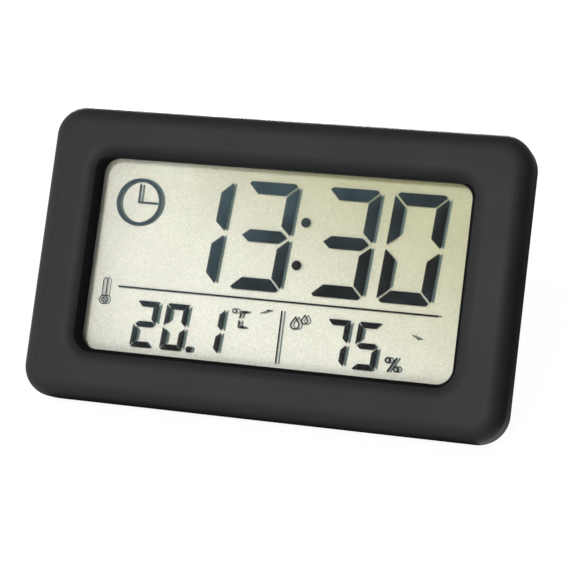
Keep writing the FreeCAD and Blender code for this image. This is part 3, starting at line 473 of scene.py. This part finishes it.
def scaled(colour, share):
    """A colour made darker or lighter by a share."""
    return (*(part * share for part in colour[:3]), 1.0)


def add_node(tree, kind, inputs=None, **settings):
    """Add a node with its settings, and the values or links of its sockets."""
    node = tree.nodes.new(kind)
    for name, value in settings.items():
        setattr(node, name, value)
    for name, value in (inputs or {}).items():
        if isinstance(value, bpy.types.NodeSocket):
            tree.links.new(value, node.inputs[name])
        else:
            node.inputs[name].default_value = value
    return node


def start_material(name):
    """A new material and its empty node tree."""
    material = bpy.data.materials.new(name)
    material.use_nodes = True
    material.node_tree.nodes.clear()
    return material, material.node_tree


def end_material(tree, shader):
    """Link a shader to the material's output."""
    add_node(tree, "ShaderNodeOutputMaterial", {"Surface": shader})


def object_place(tree):
    """The place on the piece that is shaded."""
    return add_node(tree, "ShaderNodeTexCoord").outputs["Object"]


def noise(tree, place, size, detail, roughness=0.5):
    """Noise whose size is given in mm."""
    node = add_node(
        tree,
        "ShaderNodeTexNoise",
        {"Vector": place, "Scale": 1 / (size * MM), "Detail": detail, "Roughness": roughness},
    )
    return node.outputs["Fac"]


def spread(tree, value, low, high, start=0.0, end=1.0, **settings):
    """A value that runs from start to end, made to run from low to high."""
    node = add_node(
        tree,
        "ShaderNodeMapRange",
        {"Value": value, "From Min": start, "From Max": end, "To Min": low, "To Max": high},
        **settings,
    )
    return node.outputs["Result"]


def blend(tree, share, first, second):
    """One colour that turns into another as a share grows."""
    node = add_node(tree, "ShaderNodeMix", {0: share, 6: first, 7: second}, data_type="RGBA")
    return node.outputs[2]


def relief(tree, height, strength, depth):
    """A fine relief whose depth is given in mm."""
    node = add_node(
        tree, "ShaderNodeBump", {"Height": height, "Strength": strength, "Distance": depth * MM}
    )
    return node.outputs["Normal"]


def surface(material, tree, inputs):
    """End a material with one surface shader, and return it."""
    shader = add_node(tree, "ShaderNodeBsdfPrincipled", inputs)
    end_material(tree, shader.outputs["BSDF"])
    return material


def moulded_plastic(name, colour, roughness, grain, depth, mottle=0.12, specular=0.5):
    """Injection moulded plastic with an eroded mould's grain, and slight flow mottling."""
    material, tree = start_material(name)
    place = object_place(tree)
    fine = noise(tree, place, grain, 3.0, 0.6)
    broad = noise(tree, place, FLOW_SIZE, 4.0)
    tone = linear(colour)
    shade = blend(tree, broad, scaled(tone, 1 - mottle), scaled(tone, 1 + mottle))
    inputs = {
        "Base Color": shade,
        "Roughness": spread(
            tree, broad, roughness - PLASTIC_SWAY, roughness + PLASTIC_SWAY, 0.3, 0.7
        ),
        "Normal": relief(tree, fine, 1.0, depth),
        "Specular IOR Level": specular,
        "IOR": 1.5,
    }
    return surface(material, tree, inputs)


def plated_metal(name, colour, roughness, pitch):
    """Stamped or turned metal with fine lines from its rolling."""
    material, tree = start_material(name)
    drawn_out = add_node(
        tree,
        "ShaderNodeMapping",
        {"Vector": object_place(tree), "Scale": (1 / (pitch * MM), LINE_STRETCH, LINE_STRETCH)},
    )
    lines = add_node(
        tree,
        "ShaderNodeTexNoise",
        {"Vector": drawn_out.outputs["Vector"], "Scale": 1.0, "Detail": 2.0},
    ).outputs["Fac"]
    inputs = {
        "Base Color": linear(colour),
        "Metallic": 1.0,
        "Roughness": spread(tree, lines, roughness - METAL_SWAY, roughness + METAL_SWAY),
        "Normal": relief(tree, lines, 0.4, 0.01),
    }
    return surface(material, tree, inputs)


def clear_sheet(name, tint, haze, mirror):
    """A clear sheet: it lets light through, and mirrors a share that grows at a slant.

    A Fresnel node would turn the far side of the sheet into a full mirror at a slant, because
    light isn't bent here, so the growth with the slant is worked out as Schlick's fifth power.
    """
    material, tree = start_material(name)
    wave = noise(tree, object_place(tree), WAVE_SIZE, 1.0)
    slant = add_node(tree, "ShaderNodeLayerWeight", {"Blend": 0.5}).outputs["Facing"]
    growth = add_node(tree, "ShaderNodeMath", {0: slant, 1: 5.0}, operation="POWER")
    inputs = {
        "Base Color": linear(tint),
        "Metallic": 1.0,
        "Roughness": spread(tree, wave, haze, 1.5 * haze),
        "Alpha": spread(tree, growth.outputs["Value"], mirror, 1.0),
    }
    return surface(material, tree, inputs)


def inner_film(name, tint, share):
    """A clear layer laminated inside the display, which shows only as a faint tint."""
    material, tree = start_material(name)
    wave = noise(tree, object_place(tree), WAVE_SIZE, 1.0)
    inputs = {
        "Base Color": linear(tint),
        "Roughness": spread(tree, wave, 0.3, 0.4),
        "Specular IOR Level": 0.1,
        "Alpha": share,
    }
    return surface(material, tree, inputs)


def slope_over_display(tree, place, across, up, start, end):
    """A share that grows over the display, by its place across and up, each from -1 to 1."""
    low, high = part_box("lcd_reflector")
    centre = (low + high) / 2
    along = Vector((across / (high.x - centre.x), 0.0, up / (high.z - centre.z)))
    slope = add_node(tree, "ShaderNodeVectorMath", {0: place, 1: along}, operation="DOT_PRODUCT")
    middle = along.dot(centre)
    return spread(
        tree,
        slope.outputs["Value"],
        0.0,
        1.0,
        middle + start,
        middle + end,
        interpolation_type="SMOOTHSTEP",
    )


def reflector_film(name, near_colour, far_colour):
    """The display's grey green reflector: coated film with a fine pearly grain.

    It turns darker and yellower from its lower left to its upper right, over the width of the display: painted
    shade.
    """
    material, tree = start_material(name)
    place = object_place(tree)
    grain = noise(tree, place, REFLECTOR_GRAIN, 2.0, 0.7)
    cloud = noise(tree, place, REFLECTOR_CLOUD, 3.0)
    both = add_node(tree, "ShaderNodeMath", {0: cloud, 1: 0.3, 2: grain}, operation="MULTIPLY_ADD")
    shade = spread(tree, both.outputs["Value"], 0.8, 1.2, 0.35, 0.95)
    painted_shade = slope_over_display(tree, place, *REFLECTOR_SHADE)
    tone = blend(tree, painted_shade, linear(near_colour), linear(far_colour))
    mix = add_node(tree, "ShaderNodeVectorMath", {0: tone, "Scale": shade}, operation="SCALE")
    inputs = {
        "Base Color": mix.outputs["Vector"],
        "Roughness": 0.5,
        "IOR": 1.8,
        "Normal": relief(tree, grain, 0.3, 0.02),
    }
    return surface(material, tree, inputs)


def crystal_ink(name, near_colour, far_colour, share):
    """Liquid crystal under a driven electrode: dark, and clear enough to show what is under it.

    It pales to blue towards the upper left: a painted reflection of a bluish haze in the window.
    """
    material, tree = start_material(name)
    place = object_place(tree)
    slope = slope_over_display(tree, place, *INK_REFLECTION)
    uneven = spread(tree, noise(tree, place, CRYSTAL_CLOUD, 1.0), -0.5, 0.5)
    tone = add_node(
        tree, "ShaderNodeMath", {0: slope, 1: uneven}, operation="ADD", use_clamp=True
    ).outputs["Value"]
    inputs = {
        "Base Color": blend(tree, tone, linear(near_colour), linear(far_colour)),
        "Roughness": 0.6,
        "Specular IOR Level": 0.0,
        "Alpha": share,
    }
    return surface(material, tree, inputs)


def pad_print(name, colour):
    """A thin pad printed coat of ink, uneven where the pad picked up less of it."""
    material, tree = start_material(name)
    specks = noise(tree, object_place(tree), INK_SPECK, 2.0)
    tone = linear(colour)
    inputs = {"Base Color": blend(tree, specks, scaled(tone, 0.8), tone), "Roughness": 0.55}
    return surface(material, tree, inputs)


def make_materials():
    """Every finish of the clock, by the name of its slot."""
    finish = bpy.context.scene.clock_finish
    materials = {
        # ABS from an eroded mould: matt, with a soft broad shine.
        "case_plastic": moulded_plastic(
            "moulded ABS, charcoal", finish.case_colour, finish.case_roughness, *CASE_GRAIN
        ),
        # Cast acrylic: clear, with a faint mirror.
        "clear_plastic": clear_sheet(*WINDOW),
        # The reflector turns darker and yellower over the display: painted shade.
        "reflector_film": reflector_film(
            "reflector film, pearl", finish.reflector_colour, finish.shaded_reflector_colour
        ),
    }
    for slot, facts in FILMS.items():
        materials[slot] = inner_film(*facts)
    for slot, facts in PLASTICS.items():
        materials[slot] = moulded_plastic(*facts)
    for slot, facts in METALS.items():
        materials[slot] = plated_metal(*facts)
    return materials


# Sizes and colours that a user may change


def number(name, description, default, **limits):
    """A property that is a plain number, or a size in mm on the face."""
    limits.setdefault("min", 0.0)
    return bpy.props.FloatProperty(name=name, description=description, default=default, **limits)


def pair(name, description, default):
    """A property of two numbers, across and up, in mm."""
    return bpy.props.FloatVectorProperty(
        name=name, description=description, default=default, size=2
    )


def length(name, description, default):
    """A property that is a length in the scene's units."""
    return number(name, description, default, subtype="DISTANCE", unit="LENGTH")


def angle(name, description, degrees):
    """A property that is an angle."""
    return number(name, description, math.radians(degrees), subtype="ANGLE")


def lamp_power(name, description, default):
    """A property that is the power of a lamp."""
    return number(name, description, default, subtype="POWER", unit="POWER")


def hex_value(name, description, default):
    """A property that is a colour, as an sRGB hex value."""
    return bpy.props.StringProperty(name=name, description=description, default=default)


class ClockDisplay(bpy.types.PropertyGroup):
    """The picture on the display."""

    figure_height: number("Figure height", "Height of a large figure in mm", 22.3)
    figure_width: number("Figure width", "Width of a large figure in mm", 11.1)
    stroke_thick: number("Stroke", "Thickness of a stroke of a large figure in mm", 2.55)
    small_share: number("Small figures", "Size of a small figure beside a large one", 0.43)
    small_thick: number(
        "Small stroke", "Thickness of a small figure's stroke before it is made small, in mm", 2.8
    )
    stroke_gap: number("Stroke gap", "Gap between two strokes in mm", 0.45)
    stroke_nip: number("Stroke nip", "How far the corners of a stroke are cut in mm", 0.5)
    slant: angle("Slant", "Slant of the figures", 3.85)
    opening_rise: length(
        "Opening rise", "How far the display's middle lies above the face's", 0.2 * MM
    )
    film_depth: length("Film depth", "Depth of the reflector's middle behind the face", 6.8 * MM)
    crystal_depth: length(
        "Crystal depth", "Depth of the liquid crystal behind the face", 6.0 * MM
    )
    shadow_depth: length(
        "Shadow depth", "Depth of the strokes' shadows behind the face", 6.7 * MM
    )
    shadow_shift: pair(
        "Shadow shift", "Where the shadows lie beside their strokes, in mm", (0.51, 0.08)
    )
    shadow_trim: number(
        "Shadow trim", "Length that a shadow falls short of the gap beside it, in mm", 0.55
    )
    mark_thick: number("Mark thickness", "Thickness of a flat mark in mm", 0.02)
    ink_colour: hex_value("Ink", "Colour of a dark stroke", "#06090D")
    # The strokes pale to this colour towards the upper left: a painted reflection of a bluish haze in the window.
    ink_reflection_colour: hex_value("Pale strokes", "Colour of the strokes at the upper left", "#3C5058")
    ink_share: number(
        "Ink density", "How much of the light one side of a stroke stops", 0.74, max=1.0
    )
    shadow_colour: hex_value("Shadow", "Colour of a stroke's shadow on the reflector", "#62736F")


class ClockFinish(bpy.types.PropertyGroup):
    """Colours and surfaces of the clock."""

    case_colour: hex_value("Case", "Colour of the case's plastic", "#1A1A1B")
    case_roughness: number("Case roughness", "Roughness of the case's plastic", 0.6, max=1.0)
    case_thick: number("Case thickness", "From the face to the back, in mm", 14.0)
    edge_round: length("Edge round", "Rounding of the moulded edges", 0.12 * MM)
    # Painted shade on the walls round the display: their darker colour, and the box and the depths within which it
    # is laid.
    recess_shade_colour: hex_value("Recess", "Colour of the recess's walls", "#121213")
    recess_size: pair(
        "Recess size", "Width and height within which the walls are dull, in mm", (84.0, 46.0)
    )
    recess_depth: number(
        "Recess start", "Depth behind the face where the walls turn dull, in mm", 1.15
    )
    recess_fade: number(
        "Recess fade", "How many times deeper the wall at the top turns dull, beyond one", 2.5
    )
    sign_rise: number("Sign rise", "How far a raised sign stands out of the back, in mm", 0.2)
    sign_reach: number("Sign reach", "From a button's middle to its sign, in mm", 7.0)
    sign_colour: hex_value("Sign ink", "Colour of the printed signs", "#A9ABAC")
    reflector_colour: hex_value("Reflector", "Colour of the display's reflector", "#CFCEC0")
    # The reflector turns towards this colour at its upper right: painted shade.
    shaded_reflector_colour: hex_value("Yellowed reflector", "Its colour at the upper right", "#99986B")


class ClockStage(bpy.types.PropertyGroup):
    """The floor, the lamps and the camera."""

    azimuth: angle("Azimuth", "Camera's turn to the right", 17.098)
    elevation: angle("Elevation", "Camera's height angle", 17.485)
    aim: bpy.props.FloatVectorProperty(
        name="Aim",
        description="The middle of the face as the camera sees it: right, up and away",
        default=(-3.978 * MM, 4.361 * MM, 385.396 * MM),
        size=3,
        subtype="XYZ",
        unit="LENGTH",
    )
    lens: number("Lens", "Focal length in mm", 121.57)
    nearest: length("Nearest", "How near the camera a thing is still seen", 10 * MM)
    floor_size: length("Floor", "Width of the floor", 6.0)
    key_power: lamp_power("Key", "Power of the key lamp", 8.2)
    low_power: lamp_power("Low", "Power of the lamp near the table", 1.9)
    glint_power: lamp_power("Glint", "Power of the small lamp that the window mirrors", 0.25)
    left_power: lamp_power("Left", "Power of the lamp at the left", 1.7)
    behind_power: lamp_power("Behind", "Power of the lamp behind", 17.0)
    ambient: number("Ambient", "Strength of the even light from all sides", 0.15)


# The operators


def body_of(node):
    """The body that a node belongs to."""
    bodies = frame["record"]["behaviour"]["bodies"]
    return next(body for body, members in bodies.items() if node in members)


def slots_of_nodes():
    """The material slot of each node, from the record."""
    return {item["node"]: item["material_slot"] for item in frame["record"]["subparts"]}


def paint(thing, material):
    """Give an object one material."""
    thing.data.materials.clear()
    thing.data.materials.append(material)


def materials_by_slot():
    """The finishes, made once."""
    store = bpy.context.scene.get("clock_materials")
    if store is None:
        made = make_materials()
        bpy.context.scene["clock_materials"] = {slot: item.name for slot, item in made.items()}
        return made
    return {slot: bpy.data.materials[name] for slot, name in store.items()}


class CLOCK_OT_finish_pieces(bpy.types.Operator):
    """Give every piece of the frame its material"""

    bl_idname = "clock.finish_pieces"
    bl_label = "Finish pieces"

    def execute(self, context):
        materials = materials_by_slot()
        for node, slot in slots_of_nodes().items():
            paint(frame["nodes"][node], materials[slot])
        # The real display sends its light to the front, and leaves the walls beside it dark.
        reflector = frame["nodes"]["lcd_reflector"]
        reflector.visible_glossy = False
        reflector.visible_diffuse = False
        return {"FINISHED"}


def softened(node, name, width):
    """A copy of a moulded node with its facets smoothed and its edges slightly rounded."""
    original = frame["nodes"][node]
    copy = bpy.data.objects.new(name, original.data.copy())
    bpy.context.scene.collection.objects.link(copy)
    pick(copy)
    start_edit()
    bpy.ops.mesh.remove_doubles(threshold=0.001 * MM)
    bpy.ops.mesh.dissolve_limited(angle_limit=MERGE_ANGLE)
    end_edit()
    bevel = copy.modifiers.new("edge round", "BEVEL")
    bevel.width = width
    bevel.segments = 2
    bevel.limit_method = "ANGLE"
    bevel.angle_limit = ROUND_ANGLE
    bevel.harden_normals = False
    bpy.ops.object.modifier_apply(modifier=bevel.name)
    bpy.ops.object.shade_smooth_by_angle(angle=SMOOTH_ANGLE)
    weigh = copy.modifiers.new("even shading", "WEIGHTED_NORMAL")
    weigh.keep_sharp = True
    bpy.ops.object.modifier_apply(modifier=weigh.name)
    return copy


def paint_recess_shade(shell):
    """Paint shade on the walls round the display: a darker colour, with a duller finish and less shine."""
    props = bpy.context.scene.clock_finish
    walls = moulded_plastic(
        "moulded ABS, charcoal, dull in the recess",
        props.recess_shade_colour,
        RECESS_ROUGHNESS,
        *RECESS_GRAIN,
    )
    shell.data.materials.append(walls)
    to_face = on_face(0.0).inverted()
    up = face_basis().col[1]
    width, height = props.recess_size
    for polygon in shell.data.polygons:
        place = to_face @ polygon.center
        inside = abs(place.x) < width / 2 and abs(place.y) < height / 2
        # The wall at the top keeps the case's finish, and gets painted shade only at its foot.
        down = max(0.0, -polygon.normal.dot(up))
        if inside and place.z < -props.recess_depth * (1 + props.recess_fade * down**4):
            polygon.material_index = 1


class CLOCK_OT_dress_case(bpy.types.Operator):
    """Smooth the moulded shells, the stand, the battery door and the buttons"""

    bl_idname = "clock.dress_case"
    bl_label = "Dress case"

    def execute(self, context):
        materials = materials_by_slot()
        slots = slots_of_nodes()
        width = context.scene.clock_finish.edge_round
        for node in SHELLS + BUTTONS:
            piece = softened(node, f"{node}_moulding", width)
            paint(piece, materials[slots[node]])
            # The walls round the display get painted shade.
            if node == "front_case":
                paint_recess_shade(piece)
            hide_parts(node)
            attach(piece, body_of(node))
        return {"FINISHED"}


def lay_on(name, pieces, depth, shift, material, thick, body="case"):
    """Join flat marks, give them a thickness and lay them at a depth behind the face."""
    mark = joined(name, pieces)
    layer = mark.modifiers.new("thickness", "SOLIDIFY")
    layer.thickness = thick
    layer.offset = 0.0
    bpy.ops.object.modifier_apply(modifier=layer.name)
    mark.matrix_world = on_face(depth) @ Matrix.Translation((*shift, 0.0))
    bpy.ops.object.transform_apply(location=True, rotation=True, scale=True)
    paint(mark, material)
    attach(mark, body)


def stored(name, make, *facts):
    """The material of that name, made when it is first asked for."""
    return bpy.data.materials.get(name) or make(name, *facts)


def show(name, make, make_shadow):
    """Lay marks in the liquid crystal, and the marks of their shadow on the reflector."""
    props = bpy.context.scene.clock_display
    ink = stored(
        "liquid crystal, driven",
        crystal_ink,
        props.ink_colour,
        props.ink_reflection_colour,
        props.ink_share,
    )
    tone = props.shadow_colour
    shade = stored("liquid crystal, shadow on the reflector", crystal_ink, tone, tone, 1.0)
    thick = props.mark_thick
    lay_on(name, make(), props.crystal_depth, DEPTH_SHIFT, ink, thick)
    if make_shadow is None:
        return
    shift = [part + DEPTH_SHIFT[index] for index, part in enumerate(props.shadow_shift)]
    marks = make_shadow()
    name = f"{name}_shadow"
    lay_on(name, marks, props.shadow_depth, shift, shade, thick)


def figures(text, middles, y, scale, thick, trim=0.0):
    """The strokes of a row of figures."""
    slant = bpy.context.scene.clock_display.slant
    plates = []
    for figure, x in zip(text, middles):
        outlines = figure_strokes(figure, x, y, scale, slant, thick, trim / scale)
        plates.extend(cut_plate(outline) for outline in outlines)
    return plates


def small_figures(text, middles, trim):
    """The strokes of a row of small figures."""
    props = bpy.context.scene.clock_display
    return figures(text, middles, SMALL_LEVEL, props.small_share, props.small_thick, trim)


def draw_sign(sign, x=0.0, y=0.0):
    """The parts of a sign, laid about a point."""
    plates = [ring(x + u, y + v, *rest) for u, v, *rest in sign.get("rings", ())]
    for u0, v0, u1, v1, thick in sign.get("bars", ()):
        plates.append(bar(x + u0, y + v0, x + u1, y + v1, thick))
    for corners in sign.get("plates", ()):
        plates.append(cut_plate([(x + u, y + v) for u, v in corners]))
    for corners, line in sign.get("outlines", ()):
        plates.append(frame_line([(x + u, y + v) for u, v in corners], line))
    return plates


def time_marks(trim=0.0):
    """The time in hours and minutes."""
    thick = bpy.context.scene.clock_display.stroke_thick
    return figures(TIME, TIME_MIDDLES, TIME_LEVEL, 1.0, thick, trim)


def temperature_marks(trim=0.0):
    """The temperature, with its decimal point."""
    return small_figures(TEMPERATURE, TEMPERATURE_MIDDLES, trim) + draw_sign(POINT)


def humidity_marks(trim=0.0):
    """The humidity."""
    return small_figures(HUMIDITY, HUMIDITY_MIDDLES, trim)


def unit_marks():
    """The degree sign, its letter and the percent sign."""
    x, y = UNIT_PLACE
    return draw_sign(UNIT_SIGNS) + figures(UNIT, (x,), y, UNIT_SHARE, UNIT_THICK)


class CLOCK_OT_show_readings(bpy.types.Operator):
    """Lay the readings and signs in the display, with their shadows"""

    bl_idname = "clock.show_readings"
    bl_label = "Show readings"

    def execute(self, context):
        trim = context.scene.clock_display.shadow_trim
        show("time_figures", time_marks, lambda: time_marks(trim))
        # No shadow of the round dots shows beside them.
        show("colon_dots", lambda: draw_sign(COLON), None)
        show("temperature_figures", temperature_marks, lambda: temperature_marks(trim / 2))
        show("humidity_figures", humidity_marks, lambda: humidity_marks(trim / 2))
        show("unit_signs", unit_marks, unit_marks)
        for name, sign in SIGNS.items():
            draw = functools.partial(draw_sign, sign)
            show(name, draw, draw)
        return {"FINISHED"}


def seen_factor(tree):
    """One for rays that see the background: camera, glossy and transmission rays."""
    path = add_node(tree, "ShaderNodeLightPath")
    first = add_node(
        tree,
        "ShaderNodeMath",
        {0: path.outputs["Is Camera Ray"], 1: path.outputs["Is Glossy Ray"]},
        operation="ADD",
    )
    both = add_node(
        tree,
        "ShaderNodeMath",
        {0: first.outputs["Value"], 1: path.outputs["Is Transmission Ray"]},
        operation="ADD",
        use_clamp=True,
    )
    return both.outputs["Value"]


def white_floor():
    """A white painted floor that looks white, and keeps a faint shadow."""
    material, tree = start_material("painted floor, white")
    paint_coat = add_node(tree, "ShaderNodeBsdfDiffuse", {"Color": FLOOR_PAINT})
    glow = add_node(tree, "ShaderNodeEmission", {"Color": WHITE, "Strength": FLOOR_GLOW})
    seen = add_node(
        tree,
        "ShaderNodeMixShader",
        {0: FLOOR_SHADE, 1: glow.outputs["Emission"], 2: paint_coat.outputs["BSDF"]},
    )
    mix = add_node(
        tree,
        "ShaderNodeMixShader",
        {0: seen_factor(tree), 1: paint_coat.outputs["BSDF"], 2: seen.outputs["Shader"]},
    )
    end_material(tree, mix.outputs["Shader"])
    return material


def black_flag():
    """Black cloth on a frame, which keeps light off one side."""
    material, tree = start_material("flag cloth, black")
    shader = add_node(tree, "ShaderNodeBsdfDiffuse", {"Color": FLAG_CLOTH})
    end_material(tree, shader.outputs["BSDF"])
    return material


def add_lamp(name, place, aim, width, height, power, colour):
    """An area lamp at a place, turned to a point."""
    lamp = bpy.data.lights.new(name, "AREA")
    lamp.shape = "RECTANGLE"
    lamp.size = width
    lamp.size_y = height
    lamp.energy = power
    lamp.color = colour
    thing = bpy.data.objects.new(name, lamp)
    bpy.context.scene.collection.objects.link(thing)
    thing.location = place
    thing.visible_camera = False
    thing.rotation_euler = (Vector(aim) - Vector(place)).to_track_quat("-Z", "Y").to_euler()


def add_flag(name, place, aim, width, height, material):
    """A black flag at a place, turned to a point, which shows only in the case's shine."""
    clear_selection()
    bpy.ops.mesh.primitive_plane_add(size=1.0, location=place)
    flag = bpy.context.object
    flag.name = name
    flag.scale = (width, height, 1.0)
    flag.rotation_euler = (Vector(aim) - Vector(place)).to_track_quat("Z", "Y").to_euler()
    flag.visible_camera = False
    flag.visible_diffuse = False
    flag.visible_shadow = False
    paint(flag, material)


def place_on(board, node):
    """Where a node's middle lies on a drawing board, across and up."""
    place = board @ middle_of(node)
    return place.x, place.y


class CLOCK_OT_mark_back(bpy.types.Operator):
    """Print the plain signs beside the buttons and raise the arrow on the battery door"""

    bl_idname = "clock.mark_back"
    bl_label = "Mark back"

    def execute(self, context):
        finish = context.scene.clock_finish
        depth = finish.case_thick * MM
        board = on_face(depth).inverted()
        signs = []
        for node, sign in BUTTON_SIGNS.items():
            x, y = place_on(board, node)
            signs.extend(draw_sign(sign, x + finish.sign_reach, y))
        # Ink on the plastic: pale, matt and a little speckled.
        ink = pad_print("pad printed ink, pale grey", finish.sign_colour)
        thick = context.scene.clock_display.mark_thick
        lay_on("button_signs", signs, depth, (0.0, 0.0), ink, thick)
        arrow = draw_sign(DOOR_ARROW, *place_on(board, "battery_door"))
        plastic = materials_by_slot()["case_plastic"]
        rise = 2 * finish.sign_rise
        lay_on(
            "door_arrow", arrow, depth, (0.0, 0.0), plastic, rise, "battery_door"
        )
        return {"FINISHED"}


def set_camera(scene, props):
    """Put the camera where the photograph was taken from."""
    forward = Vector((
        -math.sin(props.azimuth) * math.cos(props.elevation),
        math.cos(props.azimuth) * math.cos(props.elevation),
        -math.sin(props.elevation),
    ))
    right = Vector((math.cos(props.azimuth), math.sin(props.azimuth), 0.0))
    up = right.cross(forward)
    turn = Matrix((right, up, -forward)).transposed()
    face = on_face(0.0).translation
    camera = bpy.data.objects.new("camera", bpy.data.cameras.new("camera"))
    scene.collection.objects.link(camera)
    place = face - right * props.aim[0] - up * props.aim[1] - forward * props.aim[2]
    camera.matrix_world = Matrix.Translation(place) @ turn.to_4x4()
    camera.data.lens = props.lens
    camera.data.clip_start = props.nearest
    scene.camera = camera


def set_world(scene, ambient):
    """A white background that is seen at full strength and lights the clock with a share of it."""
    world = bpy.data.worlds.new("studio")
    scene.world = world
    world.use_nodes = True
    tree = world.node_tree
    tree.nodes.clear()
    strength = spread(tree, seen_factor(tree), ambient, 1.0)
    light = add_node(tree, "ShaderNodeBackground", {"Color": WHITE, "Strength": strength})
    add_node(tree, "ShaderNodeOutputWorld", {"Surface": light.outputs["Background"]})


class CLOCK_OT_set_stage(bpy.types.Operator):
    """Set the floor, the flags, the lamps and the camera"""

    bl_idname = "clock.set_stage"
    bl_label = "Set stage"

    def execute(self, context):
        scene = context.scene
        props = scene.clock_stage
        clear_selection()
        bpy.ops.mesh.primitive_plane_add(size=props.floor_size, location=(0.0, 0.0, 0.0))
        floor = context.object
        floor.name = "floor"
        paint(floor, white_floor())
        set_world(scene, props.ambient)
        for name, (place, width, height, tint) in LAMPS.items():
            strength = getattr(props, f"{name}_power")
            add_lamp(name, place, CLOCK_MIDDLE, width, height, strength, tint)
        cloth = black_flag()
        for name, (place, aim, width, height) in FLAGS.items():
            add_flag(name, place, aim, width, height, cloth)
        set_camera(scene, props)
        scene.view_settings.view_transform = "Standard"
        scene.cycles.transparent_max_bounces = CLEAR_LAYERS
        return {"FINISHED"}


class CLOCK_PT_sidebar(bpy.types.Panel):
    """The clock's tools"""

    bl_label = "Room clock"
    bl_idname = "CLOCK_PT_sidebar"
    bl_space_type = "VIEW_3D"
    bl_region_type = "UI"
    bl_category = "Room clock"

    def draw(self, context):
        scene = context.scene
        for group in (scene.clock_display, scene.clock_finish, scene.clock_stage):
            box = self.layout.box()
            for name in group.bl_rna.properties.keys():
                if name not in ("rna_type", "name"):
                    box.prop(group, name)
        for operator in OPERATORS:
            self.layout.operator(operator.bl_idname)


GROUPS = {"clock_display": ClockDisplay, "clock_finish": ClockFinish, "clock_stage": ClockStage}
OPERATORS = (
    CLOCK_OT_finish_pieces,
    CLOCK_OT_dress_case,
    CLOCK_OT_show_readings,
    CLOCK_OT_mark_back,
    CLOCK_OT_set_stage,
)
CLASSES = (*GROUPS.values(), *OPERATORS, CLOCK_PT_sidebar)


def register():
    """Register the classes and hang the property groups on the scene."""
    for item in CLASSES:
        bpy.utils.register_class(item)
    for name, group in GROUPS.items():
        setattr(bpy.types.Scene, name, bpy.props.PointerProperty(type=group))


def unregister():
    """Take the property groups and the classes away again."""
    for name in GROUPS:
        delattr(bpy.types.Scene, name)
    for item in reversed(CLASSES):
        bpy.utils.unregister_class(item)


def main():
    """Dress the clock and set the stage."""
    register()
    bpy.ops.clock.finish_pieces()
    bpy.ops.clock.dress_case()
    bpy.ops.clock.show_readings()
    bpy.ops.clock.mark_back()
    bpy.ops.clock.set_stage()


if __name__ == "__main__":
    main()
